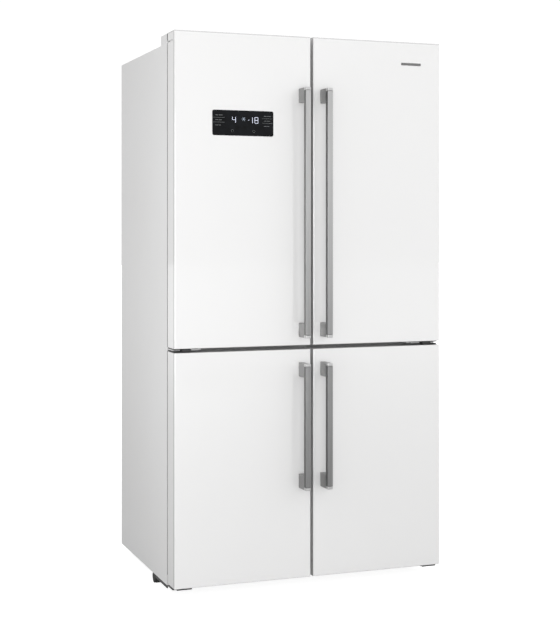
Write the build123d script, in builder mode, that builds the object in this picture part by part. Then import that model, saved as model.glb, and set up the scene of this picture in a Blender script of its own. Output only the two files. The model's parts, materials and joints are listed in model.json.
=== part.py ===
from build123d import *
import os

os.makedirs("parts", exist_ok=True)

# Four-door refrigerator. Millimetres, +X right, +Y back, +Z up, origin on the floor under the middle.

# Overall size
WIDTH = 920
HEIGHT = 1780
CABINET_DEPTH = 604
DOOR_THICKNESS = 78
SEAL_GAP = 9
GRIP_GAP = 47
BAR_DEPTH = 17

# Cabinet shell
SHEET = 1.2
BACK_SHEET = 1.5
BASE_SHEET = 2
FLANGE = 25
TOP_FLANGE = 24.5
CHANNEL_COUNT = 3
CHANNEL_WIDTH = 10
CHANNEL_MARGIN = 150
SKIRT = 32
PANEL_BOTTOM = 31
COVER_HEIGHT = 31
COVER_DEPTH = 72
COVER_WALL = 2

# Insulated compartments
SIDE_WALL = 47
CEILING = 49
REAR_WALL = 67.5
FREEZER_REAR_WALL = 77.5
MID_WALL = 50
LINER = 2.5
FREEZER_FLOOR = 90
FREEZER_TOP = 735
FRIDGE_FLOOR = 830
BAY_DEPTH = 216
BAY_TOP = 250
BAY_FRONT_WALL = 30
BAY_CEILING = 45

# Doors
DOOR_BOTTOM = 38
LOWER_DOOR_TOP = 773
SPLIT_GAP = 13
CENTRE_GAP = 10
SKIN = 1.2
EDGE_RADIUS = 2.5
GASKET_WIDTH = 18
GASKET_RELIEF = 0.7
GASKET_EDGE = 2
DYKE_WIDTH = 12
DYKE_HINGE_SIDE = 60
DYKE_CENTRE_SIDE = 55
DYKE_INSET = 20
FRIDGE_DYKE = 40
FREEZER_PAD = 12

# Door hinges
PIVOT_INSET = 20
PIVOT_FORWARD = 30
PIN_RADIUS = 5
PIN_LENGTH = 24
PIN_FIT = 0.08
PIN_HOLE_MARGIN = 1.5
COLLAR_RADIUS = 9
COLLAR_CLEARANCE = 0.5
HINGE_PLATE = 4
ARM_HALF_WIDTH = 12
ARM_EYE_RADIUS = 19
ARM_PLAY = 1
ARM_RISE = 0.5
ARM_SWEEP = 26
HINGE_SPAN = 50
HINGE_REACH = 57
HINGE_SIDE_GAP = 4
MID_HINGE_SPAN = 96
SCREW_RADIUS = 4.5
SCREW_HEAD = 2.5

# Handles
BAR_WIDTH = 18
BAR_CENTRE = 37.5
POST_HEIGHT = 45
BAR_RADIUS = 1
UPPER_HANDLE_BOTTOM_INSET = 27
UPPER_HANDLE_TOP_INSET = 169
LOWER_HANDLE_BOTTOM_INSET = 290
LOWER_HANDLE_TOP_INSET = 42

# Control panel in the upper left door
PANEL_WIDTH = 204
PANEL_HEIGHT = 80
PANEL_CENTRE_INSET = 128
PANEL_TOP_INSET = 245
PANEL_RADIUS = 6
PANEL_GLASS = 3
PANEL_PROUD = 0.6
PANEL_FIT = 0.3
PANEL_BOX_DEPTH = 14
PANEL_BOX_INSET = 8

# Folding mullion on the upper left door
MULLION_LENGTH = 75
MULLION_THICKNESS = 18
MULLION_PIVOT_X = 36
MULLION_PIVOT_BACK = 18
MULLION_HEEL = 4
MULLION_EDGE = 1.5
MULLION_END_GAP = 19
LUG_HEIGHT = 12
LUG_GAP = 1
LUG_REACH = 8
MULLION_PIN_RADIUS = 3
MULLION_PIN_LENGTH = 10

# Shelves, bins and drawers
SHELF_COUNT = 3
GLASS = 4
SHELF_PLAY = 3
SHELF_FRONT = 112
SHELF_BACK_GAP = 30
RIB_WIDTH = 8
RIB_HEIGHT = 8
TRIM_DEPTH = 12
TRIM_GRIP = 6
TRIM_DROP = 3
TRIM_RISE = 7
CRISPER_COVER_Z = 1000
CRISPER_COVER = 6
CRISPER_FRONT = 107.5
CRISPER_WALL = 3
CRISPER_CENTRE = 6
CRISPER_SIDE_PLAY = 14
CRISPER_TOP_GAP = 12
WEB = 5
SLIDE_PLAY = 1.5
BIN_COUNT = 3
BIN_DEPTH = 105
BIN_HEIGHT = 105
BIN_WALL = 3
BIN_PLAY = 1
BIN_LEDGE = 8
DRAWER_FRONT = 52
DRAWER_WALL = 3
DRAWER_CENTRE_PLAY = 5
DRAWER_SIDE_PLAY = 18
DRAWER_BACK_GAP = 10
DRAWER_TOP_GAP = 10
RAIL_WIDTH = 26
RAIL_HEIGHT = 10
LIP_DEPTH = 12
LIP_HEIGHT = 14

# Air ducts, lamps and cooling
DUCT_HALF_WIDTH = 150
DUCT_DEPTH = 22
DUCT_WALL = 2.5
DUCT_MARGIN = 30
DUCT_TOP_GAP = 10
SLOT_LENGTH = 80
SLOT_HEIGHT = 6
SLOT_PITCH = 60
SLOT_SPREAD = 120
FREEZER_SLOT_ROWS = 3
FREEZER_DUCT_DEPTH = 68
FREEZER_DUCT_PLATE = 8
LAMP_WIDTH = 14
LAMP_DEPTH = 3
LAMP_SETBACK = 38
LAMP_MARGIN = 90
FIN = 1
EVAPORATOR_FINS = 20
EVAPORATOR_HEIGHT = 230
EVAPORATOR_DEPTH = 44
EVAPORATOR_ROWS = 4
EVAPORATOR_SIDE_GAP = 10
EVAPORATOR_LIFT = 20
FIN_MARGIN = 20
TUBE_RADIUS = 4
FAN_RADIUS = 52
FAN_HUB = 18
FAN_HUB_LENGTH = 16
FAN_BLADES = 5
BLADE_THICKNESS = 2
BLADE_WIDTH = 24
BLADE_TILT = 30
BLADE_ROOT = 4
FAN_HOLE_GAP = 6
MOTOR_RADIUS = 20
SPOKE = 7
SHAFT_RADIUS = 3
SHAFT_LENGTH = 12
FAN_STANDOFF = 1.5
EVAPORATOR_FAN_DROP = 95

# Compressor bay
CONDENSER_FINS = 14
CONDENSER_LENGTH = 250
CONDENSER_HEIGHT = 150
CONDENSER_WIDTH = 150
CONDENSER_ROWS = 3
CONDENSER_SIDE_GAP = 60
SHROUD = 3
SHROUD_GAP = 12
STRAP_HEIGHT = 19
BAY_MARGIN = 12
COMPRESSOR_RADIUS = 74
COMPRESSOR_HEIGHT = 140
COMPRESSOR_DOME = 30
COMPRESSOR_X = -200
COMPRESSOR_PLATE = (190, 130, 3)
TERMINAL_BOX = (24, 48, 60)
STUB_SPREAD = 48
STUB_RISE = 48
STUB_LENGTH = 24
STUB_ROOT = 12
GROMMET_RADIUS = 11
GROMMET_HEIGHT = 10
TRAY_SIZE = (210, 150, 34)
TRAY_WALL = 2
GRILLE = 3
GRILLE_MARGIN = 2
GRILLE_SLOT = (7, 62)
GRILLE_COLUMNS = 26
GRILLE_PITCH_X = 28
GRILLE_PITCH_Z = 90
INLET_WIDTH = 32
INLET_HEIGHT = 26
INLET_DEPTH = 28
INLET_WALL = 4
INLET_FROM_SIDE = 42
INLET_Z = 60
PRONG = (2, 12, 5)
PRONG_PITCH = 7
PRONG_STEP = 2

# Feet and rollers
ROLLER_RADIUS = 20
ROLLER_WIDTH = 20
FRONT_ROLLER_INSET = 14
REAR_ROLLER_INSET = 46
ROLLER_AXLE = 4
ROLLER_EDGE = 2
FRONT_ROLLER_SETBACK = 158
REAR_ROLLER_SETBACK = 50
CHEEK = 3
CHEEK_PLAY = 0.6
RAIL_DROP = 10
CHEEK_TAB = 14
CHEEK_TAB_DROP = 20
WHEEL_WELL = 22
WHEEL_WELL_TOP = 12
FOOT_RADIUS = 20
FOOT_DISC = 8
FOOT_EDGE = 1.5
FOOT_STEM = 5
FOOT_STEM_TOP = 56
FOOT_INSET = 60
FOOT_SETBACK = 87.5
FOOT_BOSS = 9
FOOT_BOSS_TOP = 45
FOOT_POCKET_TOP = 60
FOOT_POCKET_PLAY = 1

# Planes worked out from the sizes above
HALF = WIDTH / 2
BACK_Y = (CABINET_DEPTH + SEAL_GAP + DOOR_THICKNESS + GRIP_GAP + BAR_DEPTH) / 2
CABINET_Y = BACK_Y - CABINET_DEPTH
DOOR_BACK_Y = CABINET_Y - SEAL_GAP
DOOR_FRONT_Y = DOOR_BACK_Y - DOOR_THICKNESS
BAR_BACK_Y = DOOR_FRONT_Y - GRIP_GAP
BAR_FRONT_Y = BAR_BACK_Y - BAR_DEPTH
SHELL_X = HALF - SHEET
CABINET_TOP = HEIGHT - COVER_HEIGHT
PAN_TOP = PANEL_BOTTOM + BASE_SHEET
FOAM_BACK_Y = BACK_Y - BACK_SHEET
ROOM_X = HALF - SIDE_WALL
FRIDGE_TOP = CABINET_TOP - CEILING
FRIDGE_BACK_Y = BACK_Y - REAR_WALL
FREEZER_BACK_Y = BACK_Y - FREEZER_REAR_WALL
BAY_Y = BACK_Y - BAY_DEPTH
STEP_Y = BAY_Y - BAY_FRONT_WALL
STEP_Z = BAY_TOP + BAY_CEILING
UPPER_DOOR_BOTTOM = LOWER_DOOR_TOP + SPLIT_GAP
PIVOT_X = HALF - PIVOT_INSET
PIVOT_Y = DOOR_BACK_Y - PIVOT_FORWARD
GASKET_BACK_Y = CABINET_Y - GASKET_RELIEF
DUCT_FRONT_Y = FREEZER_BACK_Y - FREEZER_DUCT_DEPTH
FRONT_ROLLER_Y = CABINET_Y + FRONT_ROLLER_SETBACK
REAR_ROLLER_Y = BACK_Y - REAR_ROLLER_SETBACK
FRONT_ROLLER_X = HALF - FRONT_ROLLER_INSET
REAR_ROLLER_X = HALF - REAR_ROLLER_INSET
FOOT_X = HALF - FOOT_INSET
HINGE_OUTER = HALF - HINGE_SIDE_GAP
FOOT_Y = CABINET_Y + FOOT_SETBACK
MID_HINGE_Z = LOWER_DOOR_TOP + (SPLIT_GAP - HINGE_PLATE) / 2
SIDES = {"left": -1, "right": 1}


def span(side, near, far):
    """Limits along X from two distances out from the middle, on one side of it."""
    return min(side * near, side * far), max(side * near, side * far)


def block(x, y, z, mode=Mode.ADD):
    """Box between two limits on each axis."""
    with Locations(((x[0] + x[1]) / 2, (y[0] + y[1]) / 2, (z[0] + z[1]) / 2)):
        Box(x[1] - x[0], y[1] - y[0], z[1] - z[0], mode=mode)


def post(x, y, z, radius, mode=Mode.ADD):
    """Upright cylinder between two heights."""
    with Locations((x, y, (z[0] + z[1]) / 2)):
        Cylinder(radius, z[1] - z[0], mode=mode)


def axle(x, y, z, radius, mode=Mode.ADD):
    """Cylinder along X between two limits."""
    with Locations(((x[0] + x[1]) / 2, y, z)):
        Cylinder(radius, x[1] - x[0], rotation=(0, 90, 0), mode=mode)


def finish(piece, name):
    """Label a finished piece and write it."""
    piece.part.label = name
    export_step(piece.part, f"parts/{name}.step")


def fridge_outline(grow):
    """Side view of the fridge compartment, grown by the liner's thickness."""
    return [
        (CABINET_Y, FRIDGE_FLOOR - grow),
        (FRIDGE_BACK_Y + grow, FRIDGE_FLOOR - grow),
        (FRIDGE_BACK_Y + grow, FRIDGE_TOP + grow),
        (CABINET_Y, FRIDGE_TOP + grow),
    ]


def freezer_outline(grow):
    """Side view of a freezer compartment, with the step over the compressor bay."""
    return [
        (CABINET_Y, FREEZER_FLOOR - grow),
        (STEP_Y + grow, FREEZER_FLOOR - grow),
        (STEP_Y + grow, STEP_Z - grow),
        (FREEZER_BACK_Y + grow, STEP_Z - grow),
        (FREEZER_BACK_Y + grow, FREEZER_TOP + grow),
        (CABINET_Y, FREEZER_TOP + grow),
    ]


COMPARTMENTS = [
    (fridge_outline, (-ROOM_X, ROOM_X)),
    (freezer_outline, (-ROOM_X, -MID_WALL / 2)),
    (freezer_outline, (MID_WALL / 2, ROOM_X)),
]

# Shelf and drawer heights
shelf_pitch = (FRIDGE_TOP - CRISPER_COVER_Z) / (SHELF_COUNT + 1)
shelf_levels = [CRISPER_COVER_Z + shelf_pitch * (i + 1) for i in range(SHELF_COUNT)]
upper_drawer_pitch = (FREEZER_TOP - STEP_Z) / 2
drawer_levels = {
    "bottom": (FREEZER_FLOOR + SLIDE_PLAY, STEP_Z - DRAWER_TOP_GAP, STEP_Y - DRAWER_BACK_GAP),
    "middle": (
        STEP_Z + RAIL_HEIGHT + SLIDE_PLAY,
        STEP_Z + upper_drawer_pitch - DRAWER_TOP_GAP,
        DUCT_FRONT_Y - DRAWER_BACK_GAP,
    ),
    "top": (
        STEP_Z + upper_drawer_pitch + RAIL_HEIGHT + SLIDE_PLAY,
        FREEZER_TOP - DRAWER_TOP_GAP,
        DUCT_FRONT_Y - DRAWER_BACK_GAP,
    ),
}

# ---------------------------------------------------------------- cabinet shell
for name, side in SIDES.items():
    with BuildPart() as side_panel:
        block(span(side, SHELL_X, HALF), (CABINET_Y, BACK_Y), (PANEL_BOTTOM, CABINET_TOP))
        block(span(side, HALF - FLANGE, HALF), (CABINET_Y, CABINET_Y + SHEET), (PANEL_BOTTOM, CABINET_TOP))
        block(
            span(side, HALF - FLANGE, SHELL_X),
            (CABINET_Y, CABINET_Y + SHEET),
            (MID_HINGE_Z, MID_HINGE_Z + HINGE_PLATE),
            Mode.SUBTRACT,
        )
    finish(side_panel, f"side_panel_{name}")

with BuildPart() as top_panel:
    block((-SHELL_X, SHELL_X), (CABINET_Y + SHEET, BACK_Y), (CABINET_TOP - SHEET, CABINET_TOP))
    block(
        (FLANGE - HALF, HALF - FLANGE),
        (CABINET_Y, CABINET_Y + SHEET),
        (CABINET_TOP - TOP_FLANGE, CABINET_TOP),
    )
finish(top_panel, "top_panel")

with BuildPart() as back_panel:
    block((-SHELL_X, SHELL_X), (FOAM_BACK_Y, BACK_Y), (BAY_TOP, CABINET_TOP - SHEET))
    # Shallow stiffening channels pressed along the sheet
    with BuildSketch(Plane.XZ.offset(-BACK_Y)) as channels:
        with Locations((0, (BAY_TOP + CABINET_TOP) / 2)):
            with GridLocations(WIDTH / (CHANNEL_COUNT + 1), 0, CHANNEL_COUNT, 1):
                SlotOverall(CABINET_TOP - BAY_TOP - 2 * CHANNEL_MARGIN, CHANNEL_WIDTH, rotation=90)
    extrude(amount=BACK_SHEET / 2, mode=Mode.SUBTRACT)
finish(back_panel, "back_panel")

with BuildPart() as base_pan:
    block((-SHELL_X, SHELL_X), (CABINET_Y + SHEET, BACK_Y - GRILLE), (PANEL_BOTTOM, PAN_TOP))
    block(
        (FLANGE - HALF, HALF - FLANGE),
        (CABINET_Y, CABINET_Y + SHEET),
        (PANEL_BOTTOM, PAN_TOP + SKIRT),
    )
    half_well = ROLLER_WIDTH / 2 + CHEEK_PLAY
    for side in SIDES.values():
        for roller_x, roller_y, rail_y in (
            (FRONT_ROLLER_X, FRONT_ROLLER_Y, (CABINET_Y, FRONT_ROLLER_Y + CHEEK_TAB)),
            (REAR_ROLLER_X, REAR_ROLLER_Y, (REAR_ROLLER_Y - CHEEK_TAB, BACK_Y - GRILLE)),
        ):
            for cheek in (-1, 1):
                inner = roller_x + cheek * half_well
                cheek_x = span(side, inner, inner + cheek * CHEEK)
                tab_y = (roller_y - CHEEK_TAB, roller_y + CHEEK_TAB)
                block(cheek_x, rail_y, (PANEL_BOTTOM - RAIL_DROP, PANEL_BOTTOM))
                block(cheek_x, tab_y, (PANEL_BOTTOM - CHEEK_TAB_DROP, PANEL_BOTTOM))
            block(
                span(side, roller_x - half_well, roller_x + half_well),
                (roller_y - WHEEL_WELL, roller_y + WHEEL_WELL),
                (PANEL_BOTTOM, PAN_TOP),
                Mode.SUBTRACT,
            )
            reach = half_well + CHEEK
            axle(span(side, roller_x - reach, roller_x + reach), roller_y, ROLLER_RADIUS, ROLLER_AXLE)
        block(
            span(side, HINGE_OUTER - HINGE_SPAN, HINGE_OUTER),
            (CABINET_Y, CABINET_Y + HINGE_REACH),
            (PANEL_BOTTOM - HINGE_PLATE, PANEL_BOTTOM),
            Mode.SUBTRACT,
        )
        post(side * FOOT_X, FOOT_Y, (PANEL_BOTTOM, FOOT_BOSS_TOP), FOOT_BOSS)
        post(side * FOOT_X, FOOT_Y, (0, FOOT_BOSS_TOP), FOOT_STEM + PIN_FIT, Mode.SUBTRACT)
finish(base_pan, "base_pan")

with BuildPart() as cabinet_foam:
    block((-SHELL_X, SHELL_X), (CABINET_Y + LINER, FOAM_BACK_Y), (PAN_TOP, CABINET_TOP - SHEET))
    for outline, room in COMPARTMENTS:
        with BuildSketch(Plane.YZ.offset(room[0] - LINER)):
            Polygon(*outline(LINER), align=None)
        extrude(amount=room[1] - room[0] + 2 * LINER, mode=Mode.SUBTRACT)
    block((-SHELL_X, SHELL_X), (BAY_Y, FOAM_BACK_Y), (PAN_TOP, BAY_TOP), Mode.SUBTRACT)
    for side in SIDES.values():
        block(
            span(side, FRONT_ROLLER_X - half_well - CHEEK, FRONT_ROLLER_X + half_well + CHEEK),
            (FRONT_ROLLER_Y - WHEEL_WELL, FRONT_ROLLER_Y + WHEEL_WELL),
            (PAN_TOP, PAN_TOP + WHEEL_WELL_TOP),
            Mode.SUBTRACT,
        )
        post(side * FOOT_X, FOOT_Y, (PAN_TOP, FOOT_POCKET_TOP), FOOT_BOSS + FOOT_POCKET_PLAY, Mode.SUBTRACT)
finish(cabinet_foam, "cabinet_foam")

with BuildPart() as top_cover:
    block((-HALF, HALF), (CABINET_Y, CABINET_Y + COVER_DEPTH), (CABINET_TOP, HEIGHT))
    fillet(top_cover.faces().sort_by(Axis.Z)[-1].edges(), COVER_WALL)
    block(
        (COVER_WALL - HALF, HALF - COVER_WALL),
        (CABINET_Y + COVER_WALL, CABINET_Y + COVER_DEPTH - COVER_WALL),
        (CABINET_TOP, HEIGHT - COVER_WALL),
        Mode.SUBTRACT,
    )
    for side in SIDES.values():
        block(
            span(side, PIVOT_X - ARM_HALF_WIDTH - ARM_PLAY, PIVOT_X + ARM_HALF_WIDTH + ARM_PLAY),
            (CABINET_Y, CABINET_Y + COVER_WALL),
            (CABINET_TOP, CABINET_TOP + HINGE_PLATE + ARM_PLAY),
            Mode.SUBTRACT,
        )
finish(top_cover, "top_cover")

# ---------------------------------------------------------------- door hinges fixed to the cabinet
with BuildPart() as upper_hinges:
    for side in SIDES.values():
        pivot_x = side * PIVOT_X
        plate = (CABINET_TOP, CABINET_TOP + HINGE_PLATE)
        block(
            span(side, PIVOT_X - ARM_HALF_WIDTH, PIVOT_X + ARM_HALF_WIDTH),
            (PIVOT_Y, CABINET_Y + COVER_WALL),
            plate,
        )
        block(
            span(side, HINGE_OUTER - HINGE_SPAN, HINGE_OUTER),
            (CABINET_Y + COVER_WALL, CABINET_Y + HINGE_REACH),
            plate,
        )
        post(pivot_x, PIVOT_Y, plate, ARM_EYE_RADIUS)
        post(pivot_x, PIVOT_Y, (CABINET_TOP - PIN_LENGTH, CABINET_TOP), PIN_RADIUS)
        screw_x = side * (HINGE_OUTER - HINGE_SPAN / 2)
        with Locations((screw_x, CABINET_Y + HINGE_REACH / 2, plate[1] + SCREW_HEAD / 2)):
            with GridLocations(HINGE_SPAN / 2, HINGE_REACH / 2, 2, 2):
                Cylinder(SCREW_RADIUS, SCREW_HEAD)
finish(upper_hinges, "upper_hinges")

with BuildPart() as middle_hinges:
    for side in SIDES.values():
        pivot_x = side * PIVOT_X
        plate = (MID_HINGE_Z, MID_HINGE_Z + HINGE_PLATE)
        plate_x = span(side, HINGE_OUTER - MID_HINGE_SPAN, HINGE_OUTER)
        block(plate_x, (PIVOT_Y, CABINET_Y - GASKET_RELIEF), plate)
        block(
            span(side, HINGE_OUTER - MID_HINGE_SPAN + ARM_HALF_WIDTH, HINGE_OUTER),
            (PIVOT_Y - ARM_HALF_WIDTH, PIVOT_Y),
            plate,
        )
        block(span(side, HALF - FLANGE, SHELL_X), (CABINET_Y - GASKET_RELIEF, CABINET_Y + SHEET), plate)
        post(pivot_x, PIVOT_Y, (plate[0] - PIN_LENGTH, plate[1] + PIN_LENGTH), PIN_RADIUS)
        collars = (LOWER_DOOR_TOP + COLLAR_CLEARANCE, UPPER_DOOR_BOTTOM - COLLAR_CLEARANCE)
        post(pivot_x, PIVOT_Y, collars, COLLAR_RADIUS)
finish(middle_hinges, "middle_hinges")

with BuildPart() as lower_hinges:
    for side in SIDES.values():
        pivot_x = side * PIVOT_X
        plate = (PANEL_BOTTOM - HINGE_PLATE, PANEL_BOTTOM)
        plate_x = span(side, HINGE_OUTER - HINGE_SPAN, HINGE_OUTER)
        block(plate_x, (PIVOT_Y - ARM_HALF_WIDTH, CABINET_Y + HINGE_REACH), plate)
        post(pivot_x, PIVOT_Y, (PANEL_BOTTOM, DOOR_BOTTOM - COLLAR_CLEARANCE), COLLAR_RADIUS)
        post(pivot_x, PIVOT_Y, (PANEL_BOTTOM, DOOR_BOTTOM + PIN_LENGTH), PIN_RADIUS)
finish(lower_hinges, "lower_hinges")

# ---------------------------------------------------------------- liners
with BuildPart() as fridge_liner:
    with BuildSketch(Plane.YZ.offset(-ROOM_X - LINER)):
        Polygon(*fridge_outline(LINER), align=None)
    extrude(amount=2 * (ROOM_X + LINER))
    block(
        (FLANGE - HALF, HALF - FLANGE),
        (CABINET_Y, CABINET_Y + LINER),
        (FRIDGE_FLOOR - LINER, CABINET_TOP - TOP_FLANGE),
    )
    with BuildSketch(Plane.YZ.offset(-ROOM_X)):
        Polygon(*fridge_outline(0), align=None)
    extrude(amount=2 * ROOM_X, mode=Mode.SUBTRACT)
    for side in SIDES.values():
        for level in [CRISPER_COVER_Z] + shelf_levels:
            block(
                span(side, ROOM_X - RIB_WIDTH, ROOM_X),
                (CABINET_Y + SHELF_FRONT + TRIM_DEPTH, FRIDGE_BACK_Y - SHELF_BACK_GAP - TRIM_DEPTH),
                (level - RIB_HEIGHT, level),
            )
finish(fridge_liner, "fridge_liner")

for name, side in SIDES.items():
    room = span(side, MID_WALL / 2, ROOM_X)
    with BuildPart() as freezer_liner:
        with BuildSketch(Plane.YZ.offset(room[0] - LINER)):
            Polygon(*freezer_outline(LINER), align=None)
        extrude(amount=room[1] - room[0] + 2 * LINER)
        block(
            span(side, MID_WALL / 2 - LINER, HALF - FLANGE),
            (CABINET_Y, CABINET_Y + LINER),
            (PAN_TOP + SKIRT, FREEZER_TOP + LINER),
        )
        with BuildSketch(Plane.YZ.offset(room[0])):
            Polygon(*freezer_outline(0), align=None)
        extrude(amount=room[1] - room[0], mode=Mode.SUBTRACT)
        for level in ("middle", "top"):
            base = drawer_levels[level][0] - SLIDE_PLAY
            for rail in (
                (MID_WALL / 2, MID_WALL / 2 + RAIL_WIDTH),
                (ROOM_X - RAIL_WIDTH, ROOM_X),
            ):
                block(
                    span(side, *rail),
                    (CABINET_Y + DRAWER_FRONT + LIP_DEPTH, DUCT_FRONT_Y),
                    (base - RAIL_HEIGHT, base),
                )
    finish(freezer_liner, f"freezer_liner_{name}")

with BuildPart() as front_divider:
    block(
        (FLANGE - HALF, HALF - FLANGE),
        (CABINET_Y, CABINET_Y + LINER),
        (FREEZER_TOP + LINER, FRIDGE_FLOOR - LINER),
    )
    block(
        (LINER - MID_WALL / 2, MID_WALL / 2 - LINER),
        (CABINET_Y, CABINET_Y + LINER),
        (PAN_TOP + SKIRT, FREEZER_TOP + LINER),
    )
finish(front_divider, "front_divider")

# ---------------------------------------------------------------- shelves
shelf_x = (SHELF_PLAY - ROOM_X, ROOM_X - SHELF_PLAY)
shelf_front_y = CABINET_Y + SHELF_FRONT
shelf_back_y = FRIDGE_BACK_Y - SHELF_BACK_GAP
pane_y = (shelf_front_y + TRIM_DEPTH - TRIM_GRIP, shelf_back_y - TRIM_DEPTH + TRIM_GRIP)

with BuildPart() as glass_shelves:
    for level in shelf_levels:
        block(shelf_x, pane_y, (level, level + GLASS))
finish(glass_shelves, "glass_shelves")

with BuildPart() as shelf_trims:
    for level in shelf_levels:
        for trim_y in (
            (shelf_front_y, shelf_front_y + TRIM_DEPTH),
            (shelf_back_y - TRIM_DEPTH, shelf_back_y),
        ):
            block(shelf_x, trim_y, (level - TRIM_DROP, level + TRIM_RISE))
        block(shelf_x, pane_y, (level, level + GLASS), Mode.SUBTRACT)
finish(shelf_trims, "shelf_trims")

with BuildPart() as crisper_cover:
    cover_z = (CRISPER_COVER_Z, CRISPER_COVER_Z + CRISPER_COVER)
    block(shelf_x, (shelf_front_y, shelf_back_y), cover_z)
    block(
        (-WEB / 2, WEB / 2),
        (shelf_front_y + TRIM_DEPTH, shelf_back_y - TRIM_DEPTH),
        (FRIDGE_FLOOR, CRISPER_COVER_Z),
    )
finish(crisper_cover, "crisper_cover")


def open_box(x, y, z, wall):
    """Tray with an open top."""
    block(x, y, z)
    block(
        (x[0] + wall, x[1] - wall),
        (y[0] + wall, y[1] - wall),
        (z[0] + wall, z[1]),
        Mode.SUBTRACT,
    )


def grip_lip(x, y, top):
    """Ledge under which the fingers pull a drawer."""
    block((x[0], x[1]), (y - LIP_DEPTH, y), (top - LIP_HEIGHT, top))


for name, side in SIDES.items():
    with BuildPart() as crisper:
        box_x = span(side, CRISPER_CENTRE, ROOM_X - CRISPER_SIDE_PLAY)
        front_y = CABINET_Y + CRISPER_FRONT + LIP_DEPTH
        top_z = CRISPER_COVER_Z - CRISPER_TOP_GAP
        open_box(
            box_x,
            (front_y, FRIDGE_BACK_Y - SHELF_BACK_GAP),
            (FRIDGE_FLOOR + SLIDE_PLAY, top_z),
            CRISPER_WALL,
        )
        grip_lip(box_x, front_y, top_z)
    finish(crisper, f"crisper_{name}")

    for level, (floor_z, top_z, rear_y) in drawer_levels.items():
        with BuildPart() as drawer:
            box_x = span(side, MID_WALL / 2 + DRAWER_CENTRE_PLAY, ROOM_X - DRAWER_SIDE_PLAY)
            front_y = CABINET_Y + DRAWER_FRONT + LIP_DEPTH
            open_box(box_x, (front_y, rear_y), (floor_z, top_z), DRAWER_WALL)
            grip_lip(box_x, front_y, top_z)
        finish(drawer, f"freezer_drawer_{name}_{level}")

# ---------------------------------------------------------------- air ducts and lamps
with BuildPart() as fridge_air_duct:
    duct_z = (CRISPER_COVER_Z + DUCT_MARGIN, FRIDGE_TOP - DUCT_TOP_GAP)
    duct_front = FRIDGE_BACK_Y - DUCT_DEPTH
    block((-DUCT_HALF_WIDTH, DUCT_HALF_WIDTH), (duct_front, FRIDGE_BACK_Y), duct_z)
    block(
        (DUCT_WALL - DUCT_HALF_WIDTH, DUCT_HALF_WIDTH - DUCT_WALL),
        (duct_front + DUCT_WALL, FRIDGE_BACK_Y),
        (duct_z[0] + DUCT_WALL, duct_z[1] - DUCT_WALL),
        Mode.SUBTRACT,
    )
    slot_rows = int((duct_z[1] - duct_z[0] - SLOT_PITCH) / SLOT_PITCH)
    with Locations((0, duct_front, (duct_z[0] + duct_z[1]) / 2)):
        with GridLocations(SLOT_SPREAD, 0, 2, 1):
            for row in range(slot_rows):
                with Locations((0, 0, (row - (slot_rows - 1) / 2) * SLOT_PITCH)):
                    Box(SLOT_LENGTH, 2 * DUCT_WALL, SLOT_HEIGHT, mode=Mode.SUBTRACT)
finish(fridge_air_duct, "fridge_air_duct")

fan_z = FREEZER_TOP - EVAPORATOR_FAN_DROP
fan_x = -(MID_WALL / 2 + ROOM_X) / 2
duct_back_y = DUCT_FRONT_Y + FREEZER_DUCT_PLATE

with BuildPart() as freezer_air_ducts:
    for side in SIDES.values():
        room = span(side, MID_WALL / 2, ROOM_X)
        block(room, (DUCT_FRONT_Y, duct_back_y), (STEP_Z, FREEZER_TOP))
        for row in range(FREEZER_SLOT_ROWS):
            with Locations((side * -fan_x, DUCT_FRONT_Y, STEP_Z + (row + 1) * SLOT_PITCH)):
                Box(SLOT_LENGTH, 2 * FREEZER_DUCT_PLATE, SLOT_HEIGHT, mode=Mode.SUBTRACT)
    # Fan opening, its spokes, the motor and the motor's shaft
    with Locations((fan_x, (DUCT_FRONT_Y + duct_back_y) / 2, fan_z)):
        Cylinder(FAN_RADIUS + FAN_HOLE_GAP, FREEZER_DUCT_PLATE, rotation=(90, 0, 0), mode=Mode.SUBTRACT)
        Cylinder(MOTOR_RADIUS, FREEZER_DUCT_PLATE, rotation=(90, 0, 0))
        Box(2 * (FAN_RADIUS + FAN_HOLE_GAP), FREEZER_DUCT_PLATE, SPOKE)
        Box(SPOKE, FREEZER_DUCT_PLATE, 2 * (FAN_RADIUS + FAN_HOLE_GAP))
    with Locations((fan_x, duct_back_y + SHAFT_LENGTH / 2, fan_z)):
        Cylinder(SHAFT_RADIUS, SHAFT_LENGTH, rotation=(90, 0, 0))
finish(freezer_air_ducts, "freezer_air_ducts")

with BuildPart() as interior_lamps:
    for side in SIDES.values():
        lamp_y = (CABINET_Y + LAMP_SETBACK, CABINET_Y + LAMP_SETBACK + LAMP_WIDTH)
        block(
            span(side, ROOM_X - LAMP_DEPTH, ROOM_X),
            lamp_y,
            (CRISPER_COVER_Z + LAMP_MARGIN, FRIDGE_TOP - LAMP_MARGIN),
        )
        block(
            span(side, MID_WALL / 2 + LAMP_MARGIN, ROOM_X - LAMP_MARGIN),
            lamp_y,
            (FREEZER_TOP - LAMP_DEPTH, FREEZER_TOP),
        )
finish(interior_lamps, "interior_lamps")


def fan_blades():
    """Fan about the local Z axis: hub bored for its shaft, with pitched blades."""
    Cylinder(FAN_HUB, FAN_HUB_LENGTH)
    with PolarLocations((FAN_HUB - BLADE_ROOT + FAN_RADIUS) / 2, FAN_BLADES):
        blade_length = FAN_RADIUS - FAN_HUB + BLADE_ROOT
        Box(blade_length, BLADE_WIDTH, BLADE_THICKNESS, rotation=(BLADE_TILT, 0, 0))
    Cylinder(SHAFT_RADIUS + PIN_FIT, FAN_HUB_LENGTH, mode=Mode.SUBTRACT)


fan_centre_y = duct_back_y + FAN_STANDOFF + FAN_HUB_LENGTH / 2
with BuildPart(Plane(origin=(fan_x, fan_centre_y, fan_z), z_dir=(0, 1, 0))) as evaporator_fan:
    fan_blades()
finish(evaporator_fan, "evaporator_fan")

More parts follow.
